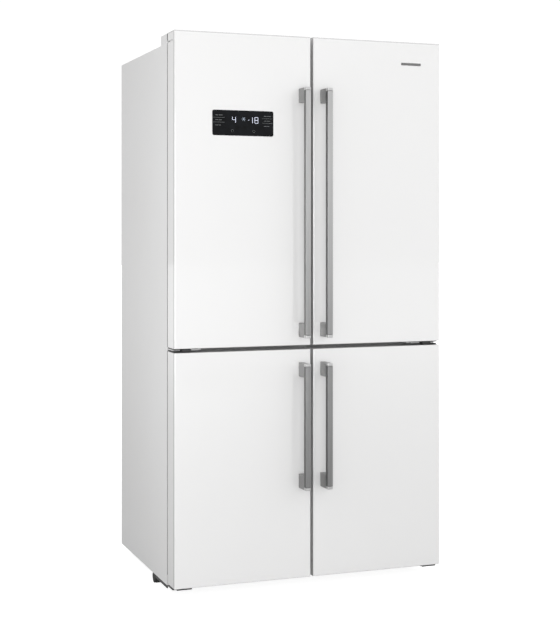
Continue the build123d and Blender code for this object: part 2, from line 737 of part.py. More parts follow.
# ---------------------------------------------------------------- cooling circuit
with BuildPart() as evaporator:
    room = span(-1, MID_WALL / 2 + EVAPORATOR_SIDE_GAP, ROOM_X - EVAPORATOR_SIDE_GAP)
    fin_z = STEP_Z + EVAPORATOR_LIFT + EVAPORATOR_HEIGHT / 2
    fin_y = (duct_back_y + FREEZER_BACK_Y) / 2
    fin_pitch = (room[1] - room[0] - 2 * FIN_MARGIN) / (EVAPORATOR_FINS - 1)
    with Locations((fan_x, fin_y, fin_z)):
        with GridLocations(fin_pitch, 0, EVAPORATOR_FINS, 1):
            Box(FIN, EVAPORATOR_DEPTH, EVAPORATOR_HEIGHT)
    for row in range(EVAPORATOR_ROWS):
        tube_z = fin_z + (row - (EVAPORATOR_ROWS - 1) / 2) * EVAPORATOR_HEIGHT / EVAPORATOR_ROWS
        for lane in (-1, 1):
            axle(room, fin_y + lane * EVAPORATOR_DEPTH / 4, tube_z, TUBE_RADIUS)
finish(evaporator, "evaporator")

bay_mid_y = (BAY_Y + FOAM_BACK_Y) / 2
condenser_x = (HALF - CONDENSER_SIDE_GAP - CONDENSER_LENGTH, HALF - CONDENSER_SIDE_GAP)
condenser_z = PAN_TOP + BAY_MARGIN + CONDENSER_HEIGHT / 2
shroud_x = (condenser_x[0] - SHROUD_GAP - SHROUD, condenser_x[0] - SHROUD_GAP)

with BuildPart() as condenser:
    with Locations(((condenser_x[0] + condenser_x[1]) / 2, bay_mid_y, condenser_z)):
        for fin in range(CONDENSER_FINS):
            offset = (fin / (CONDENSER_FINS - 1) - 0.5) * (CONDENSER_WIDTH - FIN)
            with Locations((0, offset, 0)):
                Box(CONDENSER_LENGTH, FIN, CONDENSER_HEIGHT)
    for row in range(CONDENSER_ROWS):
        for lane in range(CONDENSER_ROWS):
            tube_at = (
                condenser_x[0] + (lane + 0.5) * CONDENSER_LENGTH / CONDENSER_ROWS,
                bay_mid_y,
                condenser_z + (row - (CONDENSER_ROWS - 1) / 2) * CONDENSER_HEIGHT / CONDENSER_ROWS,
            )
            with Locations(tube_at):
                Cylinder(TUBE_RADIUS, CONDENSER_WIDTH + BAY_MARGIN, rotation=(90, 0, 0))
    # Shroud with the fan opening, spokes, motor and shaft, and straps to the coil
    shroud_y = (bay_mid_y - CONDENSER_WIDTH / 2, bay_mid_y + CONDENSER_WIDTH / 2)
    block(shroud_x, shroud_y, (PAN_TOP, condenser_z + CONDENSER_HEIGHT / 2))
    axle(shroud_x, bay_mid_y, condenser_z, FAN_RADIUS + FAN_HOLE_GAP, Mode.SUBTRACT)
    axle(shroud_x, bay_mid_y, condenser_z, MOTOR_RADIUS)
    spoke_z = (condenser_z - FAN_RADIUS - FAN_HOLE_GAP, condenser_z + FAN_RADIUS + FAN_HOLE_GAP)
    block(shroud_x, (bay_mid_y - SPOKE / 2, bay_mid_y + SPOKE / 2), spoke_z)
    axle((shroud_x[0] - SHAFT_LENGTH, shroud_x[0]), bay_mid_y, condenser_z, SHAFT_RADIUS)
    for end_y in shroud_y:
        inward = SHROUD if end_y == shroud_y[0] else -SHROUD
        block(
            (shroud_x[0], condenser_x[1]),
            (min(end_y, end_y + inward), max(end_y, end_y + inward)),
            (PAN_TOP, PAN_TOP + STRAP_HEIGHT),
        )
finish(condenser, "condenser")

fan_centre_x = shroud_x[0] - FAN_STANDOFF - FAN_HUB_LENGTH / 2
with BuildPart(Plane(origin=(fan_centre_x, bay_mid_y, condenser_z), z_dir=(1, 0, 0))) as condenser_fan:
    fan_blades()
finish(condenser_fan, "condenser_fan")

with BuildPart() as compressor:
    shell_z = PAN_TOP + GROMMET_HEIGHT + COMPRESSOR_PLATE[2]
    with Locations((COMPRESSOR_X, bay_mid_y, shell_z + COMPRESSOR_HEIGHT / 2)):
        Cylinder(COMPRESSOR_RADIUS, COMPRESSOR_HEIGHT)
    fillet(compressor.faces().sort_by(Axis.Z)[-1].edges(), COMPRESSOR_DOME)
    fillet(compressor.faces().sort_by(Axis.Z)[0].edges(), COMPRESSOR_DOME / 2)
    with Locations((COMPRESSOR_X, bay_mid_y, shell_z - COMPRESSOR_PLATE[2] / 2)):
        Box(*COMPRESSOR_PLATE)
    with Locations((COMPRESSOR_X, bay_mid_y, PAN_TOP + GROMMET_HEIGHT / 2)):
        grommet_grid = [size - 2 * GROMMET_RADIUS for size in COMPRESSOR_PLATE[:2]]
        with GridLocations(*grommet_grid, 2, 2):
            Cylinder(GROMMET_RADIUS, GROMMET_HEIGHT)
    # Terminal box and the two pipe stubs
    with Locations((COMPRESSOR_X - COMPRESSOR_RADIUS, bay_mid_y, shell_z + COMPRESSOR_HEIGHT / 2)):
        Box(*TERMINAL_BOX)
    shell_x = COMPRESSOR_X + COMPRESSOR_RADIUS
    for stub_y in (bay_mid_y - STUB_SPREAD / 2, bay_mid_y + STUB_SPREAD / 2):
        axle((shell_x - STUB_ROOT, shell_x + STUB_LENGTH), stub_y, shell_z + STUB_RISE, TUBE_RADIUS)
finish(compressor, "compressor")

with BuildPart() as evaporation_tray:
    tray_z = shell_z + COMPRESSOR_HEIGHT
    open_box(
        (COMPRESSOR_X - TRAY_SIZE[0] / 2, COMPRESSOR_X + TRAY_SIZE[0] / 2),
        (bay_mid_y - TRAY_SIZE[1] / 2, bay_mid_y + TRAY_SIZE[1] / 2),
        (tray_z, tray_z + TRAY_SIZE[2]),
        TRAY_WALL,
    )
finish(evaporation_tray, "evaporation_tray")

inlet_x = (INLET_FROM_SIDE - HALF, INLET_FROM_SIDE - HALF + INLET_WIDTH)
inlet_z = (INLET_Z, INLET_Z + INLET_HEIGHT)

with BuildPart() as rear_grille:
    block((-SHELL_X, SHELL_X), (BACK_Y - GRILLE, BACK_Y), (PANEL_BOTTOM, BAY_TOP - GRILLE_MARGIN))
    grille_mid_z = (PANEL_BOTTOM + BAY_TOP) / 2
    columns = min(GRILLE_COLUMNS, int((WIDTH - 2 * INLET_FROM_SIDE - 3 * INLET_WIDTH) / GRILLE_PITCH_X))
    with BuildSketch(Plane.XZ.offset(-BACK_Y)):
        with Locations((INLET_WIDTH, grille_mid_z)):
            with GridLocations(GRILLE_PITCH_X, GRILLE_PITCH_Z, columns, 2):
                SlotOverall(GRILLE_SLOT[1], GRILLE_SLOT[0], rotation=90)
    extrude(amount=GRILLE, mode=Mode.SUBTRACT)
    block(inlet_x, (BACK_Y - GRILLE, BACK_Y), inlet_z, Mode.SUBTRACT)
finish(rear_grille, "rear_grille")

with BuildPart() as mains_inlet:
    block(inlet_x, (BACK_Y - INLET_DEPTH, BACK_Y), inlet_z)
    block(
        (inlet_x[0] + INLET_WALL, inlet_x[1] - INLET_WALL),
        (BACK_Y - INLET_DEPTH + INLET_WALL, BACK_Y),
        (inlet_z[0] + INLET_WALL, inlet_z[1] - INLET_WALL),
        Mode.SUBTRACT,
    )
    prong_base = BACK_Y - INLET_DEPTH + INLET_WALL + PRONG[1] / 2
    for across, up in ((-PRONG_PITCH, -PRONG_STEP), (0, PRONG_STEP), (PRONG_PITCH, -PRONG_STEP)):
        with Locations((sum(inlet_x) / 2 + across, prong_base, sum(inlet_z) / 2 + up)):
            Box(*PRONG)
finish(mains_inlet, "mains_inlet")

# ---------------------------------------------------------------- feet and rollers
for name, side in SIDES.items():
    with BuildPart() as foot:
        post(side * FOOT_X, FOOT_Y, (0, FOOT_DISC), FOOT_RADIUS)
        fillet(foot.edges().filter_by(GeomType.CIRCLE), FOOT_EDGE)
        with BuildSketch(Plane.XY.offset(FOOT_DISC)):
            with Locations((side * FOOT_X, FOOT_Y)):
                RegularPolygon(FOOT_BOSS, 6)
        extrude(amount=FOOT_DISC)
        post(side * FOOT_X, FOOT_Y, (FOOT_DISC, FOOT_STEM_TOP), FOOT_STEM)
    finish(foot, f"foot_{name}")

for name, roller_x, roller_y in (
    ("front", FRONT_ROLLER_X, FRONT_ROLLER_Y),
    ("rear", REAR_ROLLER_X, REAR_ROLLER_Y),
):
    with BuildPart(Plane(origin=(0, roller_y, ROLLER_RADIUS), z_dir=(1, 0, 0))) as rollers:
        with Locations((0, 0, -roller_x), (0, 0, roller_x)):
            Cylinder(ROLLER_RADIUS, ROLLER_WIDTH)
        fillet(rollers.edges().filter_by(GeomType.CIRCLE), ROLLER_EDGE)
        Cylinder(ROLLER_AXLE + PIN_FIT, 2 * HALF, mode=Mode.SUBTRACT)
    finish(rollers, f"{name}_rollers")

# ---------------------------------------------------------------- doors
DOOR_LEVELS = {
    "upper": (UPPER_DOOR_BOTTOM, HEIGHT),
    "lower": (DOOR_BOTTOM, LOWER_DOOR_TOP),
}
GASKET_LEVELS = {
    "upper": (UPPER_DOOR_BOTTOM + 2 * GASKET_EDGE, CABINET_TOP - 2 * GASKET_EDGE),
    "lower": (FREEZER_FLOOR - GASKET_WIDTH - GASKET_EDGE, LOWER_DOOR_TOP - 2 * GASKET_EDGE),
}
HANDLE_LEVELS = {
    "upper": (UPPER_DOOR_BOTTOM + UPPER_HANDLE_BOTTOM_INSET, HEIGHT - UPPER_HANDLE_TOP_INSET),
    "lower": (DOOR_BOTTOM + LOWER_HANDLE_BOTTOM_INSET, LOWER_DOOR_TOP - LOWER_HANDLE_TOP_INSET),
}
# Where the hinge pins enter each door: the plate faces that they stand on
mid_pin = (MID_HINGE_Z - PIN_LENGTH, MID_HINGE_Z + HINGE_PLATE + PIN_LENGTH)
PIN_REACH = {
    "upper": ((UPPER_DOOR_BOTTOM, mid_pin[1]), (CABINET_TOP - PIN_LENGTH, CABINET_TOP)),
    "lower": ((DOOR_BOTTOM, DOOR_BOTTOM + PIN_LENGTH), (mid_pin[0], LOWER_DOOR_TOP)),
}
panel_x = (-CENTRE_GAP / 2 - PANEL_CENTRE_INSET - PANEL_WIDTH, -CENTRE_GAP / 2 - PANEL_CENTRE_INSET)
panel_z = (HEIGHT - PANEL_TOP_INSET - PANEL_HEIGHT, HEIGHT - PANEL_TOP_INSET)
panel_centre = (sum(panel_x) / 2, sum(panel_z) / 2)
mullion_pivot = (-MULLION_PIVOT_X, DOOR_BACK_Y + MULLION_PIVOT_BACK)
mullion_z = (FRIDGE_FLOOR + MULLION_END_GAP, FRIDGE_TOP - MULLION_END_GAP)
dyke_x = (DYKE_CENTRE_SIDE + CENTRE_GAP / 2, PIVOT_X - DYKE_HINGE_SIDE)
dyke_z = (FRIDGE_FLOOR + DYKE_INSET, FRIDGE_TOP - DYKE_INSET)
bin_pitch = (dyke_z[1] - dyke_z[0] - 2 * DYKE_WIDTH) / BIN_COUNT
bin_levels = [dyke_z[0] + DYKE_WIDTH + BIN_LEDGE + i * bin_pitch for i in range(BIN_COUNT)]


def display_outline(plane_y, grow):
    """Rounded outline of the display glass on an upright plane, facing forwards."""
    with BuildSketch(Plane.XZ.offset(-plane_y)) as outline:
        with Locations(panel_centre):
            RectangleRounded(PANEL_WIDTH + 2 * grow, PANEL_HEIGHT + 2 * grow, PANEL_RADIUS)
    return outline.sketch


def hinge_slot(side):
    """Slot in an upper door's top corner that the fixed hinge arm swings in."""
    block(
        span(side, PIVOT_X - ARM_EYE_RADIUS - ARM_PLAY, HALF),
        (PIVOT_Y - ARM_SWEEP, DOOR_BACK_Y),
        (CABINET_TOP - ARM_RISE, CABINET_TOP + HINGE_PLATE + ARM_RISE),
        Mode.SUBTRACT,
    )


def door(side, name, level):
    """Outer skin, foamed inner liner, gasket and handle of one door."""
    z = DOOR_LEVELS[level]
    pin_at = (side * PIVOT_X, PIVOT_Y)

    with BuildPart() as skin:
        block(span(side, CENTRE_GAP / 2, HALF), (DOOR_FRONT_Y, DOOR_BACK_Y), z)
        fillet(skin.faces().sort_by(Axis.Y)[0].edges(), EDGE_RADIUS)
        block(
            span(side, CENTRE_GAP / 2 + SKIN, HALF - SKIN),
            (DOOR_FRONT_Y + SKIN, DOOR_BACK_Y),
            (z[0] + SKIN, z[1] - SKIN),
            Mode.SUBTRACT,
        )
        holes = (z[0], z[1] - SKIN) if level == "upper" else z
        post(*pin_at, holes, PIN_RADIUS + PIN_HOLE_MARGIN, Mode.SUBTRACT)
        if level == "upper":
            hinge_slot(side)
        if level == "upper" and side < 0:
            extrude(display_outline(DOOR_FRONT_Y, PANEL_FIT), amount=-SKIN, mode=Mode.SUBTRACT)
    finish(skin, f"door_skin_{level}_{name}")

    with BuildPart() as liner:
        block(
            span(side, CENTRE_GAP / 2 + SKIN, HALF - SKIN),
            (DOOR_FRONT_Y + SKIN, DOOR_BACK_Y),
            (z[0] + SKIN, z[1] - SKIN),
        )
        for reach in PIN_REACH[level]:
            bore_z = (reach[0] - ARM_PLAY, reach[1] + ARM_PLAY)
            post(*pin_at, bore_z, PIN_RADIUS + PIN_FIT, Mode.SUBTRACT)
        if level == "upper":
            hinge_slot(side)
            block(span(side, *dyke_x), (DOOR_BACK_Y, DOOR_BACK_Y + FRIDGE_DYKE), dyke_z)
            block(
                span(side, dyke_x[0] + DYKE_WIDTH, dyke_x[1] - DYKE_WIDTH),
                (DOOR_BACK_Y, DOOR_BACK_Y + FRIDGE_DYKE),
                (dyke_z[0] + DYKE_WIDTH, dyke_z[1] - DYKE_WIDTH),
                Mode.SUBTRACT,
            )
            for base in bin_levels:
                for ledge in (
                    (dyke_x[0] + DYKE_WIDTH, dyke_x[0] + DYKE_WIDTH + BIN_LEDGE),
                    (dyke_x[1] - DYKE_WIDTH - BIN_LEDGE, dyke_x[1] - DYKE_WIDTH),
                ):
                    ledge_y = (DOOR_BACK_Y, DOOR_BACK_Y + FRIDGE_DYKE - BIN_LEDGE)
                    block(span(side, *ledge), ledge_y, (base - BIN_LEDGE, base))
        else:
            pad_z = (FREEZER_FLOOR + DYKE_INSET, FREEZER_TOP - DYKE_INSET)
            block(span(side, *dyke_x), (DOOR_BACK_Y, DOOR_BACK_Y + FREEZER_PAD), pad_z)
        if level == "upper" and side < 0:
            extrude(display_outline(DOOR_FRONT_Y, PANEL_FIT), amount=-PANEL_GLASS, mode=Mode.SUBTRACT)
            block(
                (panel_x[0] + PANEL_BOX_INSET - PANEL_FIT, panel_x[1] - PANEL_BOX_INSET + PANEL_FIT),
                (DOOR_FRONT_Y + PANEL_GLASS, DOOR_FRONT_Y + PANEL_BOX_DEPTH + PANEL_FIT),
                (panel_z[0] + PANEL_BOX_INSET - PANEL_FIT, panel_z[1] - PANEL_BOX_INSET + PANEL_FIT),
                Mode.SUBTRACT,
            )
            # Lugs and pins that carry the folding mullion
            for end, up in ((mullion_z[0], -1), (mullion_z[1], 1)):
                lug = (end + up * LUG_GAP, end + up * (LUG_GAP + LUG_HEIGHT))
                half = MULLION_THICKNESS / 2
                block(
                    (mullion_pivot[0] - half, mullion_pivot[0] + half),
                    (DOOR_BACK_Y, mullion_pivot[1] + LUG_REACH),
                    (min(lug), max(lug)),
                )
                tip = (lug[0], end - up * MULLION_PIN_LENGTH)
                post(*mullion_pivot, (min(tip), max(tip)), MULLION_PIN_RADIUS)
    finish(liner, f"door_liner_{level}_{name}")

    gasket_x = (CENTRE_GAP / 2 + GASKET_EDGE, PIVOT_X - 2 * GASKET_EDGE)
    gasket_z = GASKET_LEVELS[level]
    with BuildPart() as gasket:
        block(span(side, *gasket_x), (DOOR_BACK_Y, GASKET_BACK_Y), gasket_z)
        block(
            span(side, gasket_x[0] + GASKET_WIDTH, gasket_x[1] - GASKET_WIDTH),
            (DOOR_BACK_Y, GASKET_BACK_Y),
            (gasket_z[0] + GASKET_WIDTH, gasket_z[1] - GASKET_WIDTH),
            Mode.SUBTRACT,
        )
    finish(gasket, f"door_gasket_{level}_{name}")

    handle_z = HANDLE_LEVELS[level]
    bar_x = span(side, BAR_CENTRE - BAR_WIDTH / 2, BAR_CENTRE + BAR_WIDTH / 2)
    with BuildPart() as bar:
        block(bar_x, (BAR_FRONT_Y, BAR_BACK_Y), handle_z)
        fillet(bar.edges().filter_by(Axis.Z), BAR_RADIUS)
    with BuildPart() as posts:
        block(bar_x, (BAR_BACK_Y, DOOR_FRONT_Y), (handle_z[0], handle_z[0] + POST_HEIGHT))
        block(bar_x, (BAR_BACK_Y, DOOR_FRONT_Y), (handle_z[1] - POST_HEIGHT, handle_z[1]))
    handle = Compound(children=[*bar.part.solids(), *posts.part.solids()])
    handle.label = f"handle_{level}_{name}"
    export_step(handle, f"parts/{handle.label}.step")


for door_level in DOOR_LEVELS:
    for door_name, door_side in SIDES.items():
        door(door_side, door_name, door_level)

for name, side in SIDES.items():
    with BuildPart() as door_bins:
        bin_x = span(side, dyke_x[0] + DYKE_WIDTH + BIN_PLAY, dyke_x[1] - DYKE_WIDTH - BIN_PLAY)
        for base in bin_levels:
            open_box(bin_x, (DOOR_BACK_Y, DOOR_BACK_Y + BIN_DEPTH), (base, base + BIN_HEIGHT), BIN_WALL)
    finish(door_bins, f"door_bins_{name}")

with BuildPart() as control_panel:
    extrude(display_outline(DOOR_FRONT_Y + PANEL_GLASS, 0), amount=PANEL_GLASS + PANEL_PROUD)
    block(
        (panel_x[0] + PANEL_BOX_INSET, panel_x[1] - PANEL_BOX_INSET),
        (DOOR_FRONT_Y + PANEL_GLASS, DOOR_FRONT_Y + PANEL_BOX_DEPTH),
        (panel_z[0] + PANEL_BOX_INSET, panel_z[1] - PANEL_BOX_INSET),
    )
finish(control_panel, "control_panel")

with BuildPart() as door_mullion:
    half = MULLION_THICKNESS / 2
    block(
        (mullion_pivot[0] - half, mullion_pivot[0] + half),
        (mullion_pivot[1] - MULLION_HEEL, mullion_pivot[1] - MULLION_HEEL + MULLION_LENGTH),
        mullion_z,
    )
    fillet(door_mullion.edges().filter_by(Axis.Z), MULLION_EDGE)
    for end, up in ((mullion_z[0], 1), (mullion_z[1], -1)):
        hole = (end, end + up * (MULLION_PIN_LENGTH + LUG_GAP))
        post(*mullion_pivot, (min(hole), max(hole)), MULLION_PIN_RADIUS + PIN_FIT, Mode.SUBTRACT)
finish(door_mullion, "door_mullion")
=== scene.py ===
import bpy
import bmesh
import json
import math
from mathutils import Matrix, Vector

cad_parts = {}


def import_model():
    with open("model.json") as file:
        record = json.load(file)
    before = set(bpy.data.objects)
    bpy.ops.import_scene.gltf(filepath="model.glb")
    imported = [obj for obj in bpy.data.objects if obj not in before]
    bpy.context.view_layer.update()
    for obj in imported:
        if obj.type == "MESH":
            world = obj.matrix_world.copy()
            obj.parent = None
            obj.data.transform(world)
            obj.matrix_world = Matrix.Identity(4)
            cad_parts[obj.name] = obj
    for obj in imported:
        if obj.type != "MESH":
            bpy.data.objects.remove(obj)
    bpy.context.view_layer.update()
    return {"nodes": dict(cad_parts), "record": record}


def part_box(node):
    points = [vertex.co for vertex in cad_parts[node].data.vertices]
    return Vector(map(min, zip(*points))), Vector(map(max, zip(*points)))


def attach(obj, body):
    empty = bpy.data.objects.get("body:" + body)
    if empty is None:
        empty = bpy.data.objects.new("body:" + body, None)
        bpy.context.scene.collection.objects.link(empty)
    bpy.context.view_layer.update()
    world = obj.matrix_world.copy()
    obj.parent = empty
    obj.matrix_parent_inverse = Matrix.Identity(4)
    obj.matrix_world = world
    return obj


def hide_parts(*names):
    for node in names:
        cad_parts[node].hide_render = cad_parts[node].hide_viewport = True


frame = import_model()

MM = 0.001
SIDES = {"left": -1, "right": 1}
LEVELS = ("upper", "lower")
SHELVES = ("bottom", "middle", "top")
DOOR_FRONT_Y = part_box("door_skin_upper_left")[0].y
DOOR_TOP_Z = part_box("door_skin_upper_left")[1].z


# ------------------------------------------------------------------ materials
# Brushed lines are long along the axis whose scale is small
ALONG_Z = (1, 1, 0.006)
ALONG_X = (0.006, 1, 1)
# Painted shade lines where the door's sheet is folded: distance of their middles behind the front
# or below the top, and half their widths
FOLD_BACK, FOLD_BACK_HALF = 9.5 * MM, 5.5 * MM
FOLD_TOP, FOLD_TOP_HALF = 2 * MM, 2 * MM
# Heights between which painted light makes the bars' steel lighter towards the top
BAR_PAINTED_LIGHT_Z = (0.7, 1.62)


def ramp_node(tree, source, start, stop, low, high):
    """Value that goes from low to high as the source goes from start to stop."""
    spread = tree.nodes.new("ShaderNodeMapRange")
    spread.interpolation_type = "SMOOTHSTEP"
    spread.inputs["From Min"].default_value = start
    spread.inputs["From Max"].default_value = stop
    spread.inputs["To Min"].default_value = low
    spread.inputs["To Max"].default_value = high
    tree.links.new(source, spread.inputs["Value"])
    return spread.outputs["Result"]


def math_node(tree, operation, first, second):
    """Result of a sum, product or maximum of two values."""
    node = tree.nodes.new("ShaderNodeMath")
    node.operation = operation
    tree.links.new(first, node.inputs[0])
    tree.links.new(second, node.inputs[1])
    return node.outputs["Value"]


class Finish:
    """A procedural material whose textures lie in the row frame, in metres."""

    def __init__(self, name, colour, roughness, **sockets):
        self.material = bpy.data.materials.new(name)
        self.material.use_nodes = True
        self.nodes = self.material.node_tree.nodes
        self.links = self.material.node_tree.links
        self.shader = self.nodes["Principled BSDF"]
        self.shader.inputs["Base Color"].default_value = (*colour, 1)
        self.shader.inputs["Roughness"].default_value = roughness
        for socket, value in sockets.items():
            self.shader.inputs[socket.replace("_", " ")].default_value = value
        self.material.diffuse_color = (*colour, 1)
        self.place = self.nodes.new("ShaderNodeTexCoord").outputs["Object"]
        self.bump = None

    def noise(self, scale, detail=3.0, stretch=(1, 1, 1)):
        """Cloudy pattern from 0 to 1, drawn out along the axes whose stretch is small."""
        mapping = self.nodes.new("ShaderNodeMapping")
        mapping.inputs["Scale"].default_value = stretch
        self.links.new(self.place, mapping.inputs["Vector"])
        noise = self.nodes.new("ShaderNodeTexNoise")
        noise.inputs["Scale"].default_value = scale
        noise.inputs["Detail"].default_value = detail
        self.links.new(mapping.outputs["Vector"], noise.inputs["Vector"])
        return noise.outputs["Fac"]

    def cells(self, scale):
        """Patchwork of flat cells, each with its own tone."""
        cells = self.nodes.new("ShaderNodeTexVoronoi")
        cells.inputs["Scale"].default_value = scale
        self.links.new(self.place, cells.inputs["Vector"])
        return cells.outputs["Color"]

    def fold_shade(self):
        """Painted shade mask, 1 on the fine lines where the door's sheet is folded: round its edge and
        along its top.
        """
        place = self.nodes.new("ShaderNodeSeparateXYZ")
        self.links.new(self.place, place.inputs["Vector"])
        lines = []
        edge = ("Y", DOOR_FRONT_Y + FOLD_BACK, FOLD_BACK_HALF)
        top = ("Z", DOOR_TOP_Z - FOLD_TOP, FOLD_TOP_HALF)
        for axis, middle, half in (edge, top):
            near = self.nodes.new("ShaderNodeMath")
            near.operation = "COMPARE"
            near.inputs[1].default_value = middle
            near.inputs[2].default_value = half
            self.links.new(place.outputs[axis], near.inputs[0])
            lines.append(near.outputs["Value"])
        return math_node(self.material.node_tree, "MAXIMUM", *lines)

    def vary(self, socket, source, low, high):
        """Makes a socket follow a texture between two values."""
        spread = self.nodes.new("ShaderNodeMapRange")
        spread.inputs["To Min"].default_value = low
        spread.inputs["To Max"].default_value = high
        self.links.new(source, spread.inputs["Value"])
        self.links.new(spread.outputs["Result"], self.shader.inputs[socket])
        return self

    def tint(self, source, dark, light, low=0.3, high=0.7):
        """Base colour between two tones, following a texture."""
        ramp = self.nodes.new("ShaderNodeValToRGB")
        ramp.color_ramp.elements[0].position = low
        ramp.color_ramp.elements[0].color = (*dark, 1)
        ramp.color_ramp.elements[1].position = high
        ramp.color_ramp.elements[1].color = (*light, 1)
        self.links.new(source, ramp.inputs["Fac"])
        self.links.new(ramp.outputs["Color"], self.shader.inputs["Base Color"])
        return self

    def raise_by(self, source, strength, depth):
        """Surface relief, added over any relief that is there already."""
        bump = self.nodes.new("ShaderNodeBump")
        bump.inputs["Strength"].default_value = strength
        bump.inputs["Distance"].default_value = depth
        self.links.new(source, bump.inputs["Height"])
        if self.bump:
            self.links.new(self.bump.outputs["Normal"], bump.inputs["Normal"])
        self.links.new(bump.outputs["Normal"], self.shader.inputs["Normal"])
        self.bump = bump
        return self


def shade(value, warm=0.0):
    """Grey, a little warmer than neutral if asked."""
    return (value * (1 + warm), value, value * (1 - warm))


def gloss_white():
    """Lacquered door steel: clear gloss over a fine orange peel, with painted shade along the sheet's
    fold lines.
    """
    f = Finish("door_gloss_white", shade(0.80), 0.08, IOR=2.1)
    # Painted shade: darker lines where the sheet is folded, round the door's edge and along its top
    f.tint(f.fold_shade(), shade(0.795, 0.002), shade(0.60), 0.0, 1.0)
    f.vary("Roughness", f.noise(9, 4), 0.03, 0.06)
    return f.raise_by(f.noise(420, 2), 0.02, 0.0002).material


def satin_white():
    """Prepainted side sheet with a fine leather-like grain."""
    f = Finish("panel_satin_white", shade(0.78), 0.45)
    f.tint(f.noise(2.2, 3), shade(0.772, 0.004), shade(0.788))
    f.vary("Roughness", f.noise(14, 5), 0.40, 0.52)
    f.raise_by(f.noise(900, 4), 0.18, 0.0004)
    return f.raise_by(f.noise(6, 2), 0.04, 0.002).material


def moulded(name, tone, low, high, grain=700):
    """Moulded plastic with faint flow marks and a fine grain."""
    f = Finish(name, shade(tone), (low + high) / 2)
    f.tint(f.noise(7, 4), shade(tone * 0.97), shade(tone * 1.02))
    f.vary("Roughness", f.noise(30, 4), low, high)
    return f.raise_by(f.noise(grain, 3), 0.12, 0.0003).material


def brushed(name, tone, low, high, stretch, strength=0.10):
    """Metal brushed along the axis that the stretch keeps long."""
    f = Finish(name, shade(tone, 0.004), (low + high) / 2, Metallic=1.0)
    lines = f.noise(1000, 4, stretch)
    f.tint(lines, shade(tone * 0.9, 0.004), shade(tone * 1.06, 0.004))
    f.vary("Roughness", f.noise(600, 3, stretch), low, high)
    return f.raise_by(lines, strength, 0.0002).material


def bar_steel():
    """Brushed steel of the handle bars, with painted light that makes it lighter towards the top of the
    doors.
    """
    f = Finish("bar_front_steel", shade(0.37), 0.33, Metallic=1.0, Anisotropic=0.5)
    tree = f.material.node_tree
    lines = f.noise(1000, 4, ALONG_Z)
    place = f.nodes.new("ShaderNodeSeparateXYZ")
    f.links.new(f.place, place.inputs["Vector"])
    # Painted light: the steel turns lighter with height, standing in for the brighter reflection on the
    # bars' upper parts
    painted_light_rise = ramp_node(tree, place.outputs["Z"], *BAR_PAINTED_LIGHT_Z, 0.0, 0.75)
    grain = ramp_node(tree, lines, 0.3, 0.7, 0.0, 0.25)
    f.tint(math_node(tree, "ADD", grain, painted_light_rise), shade(0.25), shade(0.47), 0.0, 1.0)
    f.vary("Roughness", f.noise(600, 3, ALONG_Z), 0.26, 0.40)
    return f.raise_by(lines, 0.10, 0.0002).material


def polished(name, tone, low=0.16, high=0.28):
    """Polished metal with wiping marks in its gloss."""
    f = Finish(name, shade(tone), 0.22, Metallic=1.0)
    f.vary("Roughness", f.noise(120, 4), low, high)
    return f.raise_by(f.noise(300, 3), 0.03, 0.0002).material


def display_glass():
    """Black glass with faint fingerprints in the gloss."""
    f = Finish("display_glass", (0.003, 0.0035, 0.005), 0.06, IOR=1.25)
    f.tint(f.noise(40, 4), (0.002, 0.0025, 0.003), (0.006, 0.007, 0.009))
    return f.vary("Roughness", f.noise(90, 6), 0.03, 0.14).material


def glow(name, colour, strength):
    """Lit print or diffuser."""
    f = Finish(name, colour, 0.4)
    f.shader.inputs["Emission Color"].default_value = (*colour, 1)
    f.shader.inputs["Emission Strength"].default_value = strength
    return f.vary("Roughness", f.noise(300), 0.35, 0.5).material


def clear(name, colour, low, high, weight, ior=1.46, grain=0.0):
    """Glass or clear plastic; grain frosts its surface."""
    f = Finish(name, colour, (low + high) / 2, Transmission_Weight=weight, IOR=ior)
    f.tint(f.noise(12, 3), tuple(c * 0.97 for c in colour), colour)
    f.vary("Roughness", f.noise(60, 4), low, high)
    if grain:
        f.raise_by(f.noise(800, 3), grain, 0.0003)
    return f.material


def galvanised():
    """Zinc-coated sheet with its spangle."""
    f = Finish("back_sheet", shade(0.62), 0.5, Metallic=0.35)
    f.tint(f.cells(90), shade(0.56), shade(0.68), 0.0, 1.0)
    f.vary("Roughness", f.noise(40, 5), 0.38, 0.6)
    return f.raise_by(f.noise(500, 3), 0.08, 0.0003).material


def enamel(name, tone, low, high):
    """Dark dipped paint with runs and dust."""
    f = Finish(name, shade(tone), (low + high) / 2, Coat_Weight=0.3, Coat_Roughness=0.2)
    f.tint(f.noise(25, 6), shade(tone * 0.8), shade(tone * 1.7), 0.35, 0.8)
    f.vary("Roughness", f.noise(50, 5), low, high)
    return f.raise_by(f.noise(260, 3), 0.1, 0.0004).material


def rubber(name, tone):
    """Dull vinyl or nylon."""
    f = Finish(name, shade(tone), 0.7)
    f.tint(f.noise(30, 5), shade(tone * 0.88), shade(tone * 1.08))
    f.vary("Roughness", f.noise(80, 4), 0.58, 0.8)
    return f.raise_by(f.noise(1200, 3), 0.15, 0.0002).material


def copper():
    """Bare pipe, browned in patches."""
    f = Finish("copper_pipe", (0.72, 0.36, 0.22), 0.3, Metallic=1.0)
    f.tint(f.noise(35, 5), (0.5, 0.22, 0.13), (0.8, 0.43, 0.27))
    return f.vary("Roughness", f.noise(70, 4), 0.22, 0.45).material


def foam_skin():
    """Rough skin of the poured insulation."""
    f = Finish("foam_skin", (0.78, 0.68, 0.42), 0.85)
    f.tint(f.noise(18, 5), (0.66, 0.55, 0.3), (0.84, 0.76, 0.52))
    return f.raise_by(f.noise(220, 4), 0.5, 0.001).material


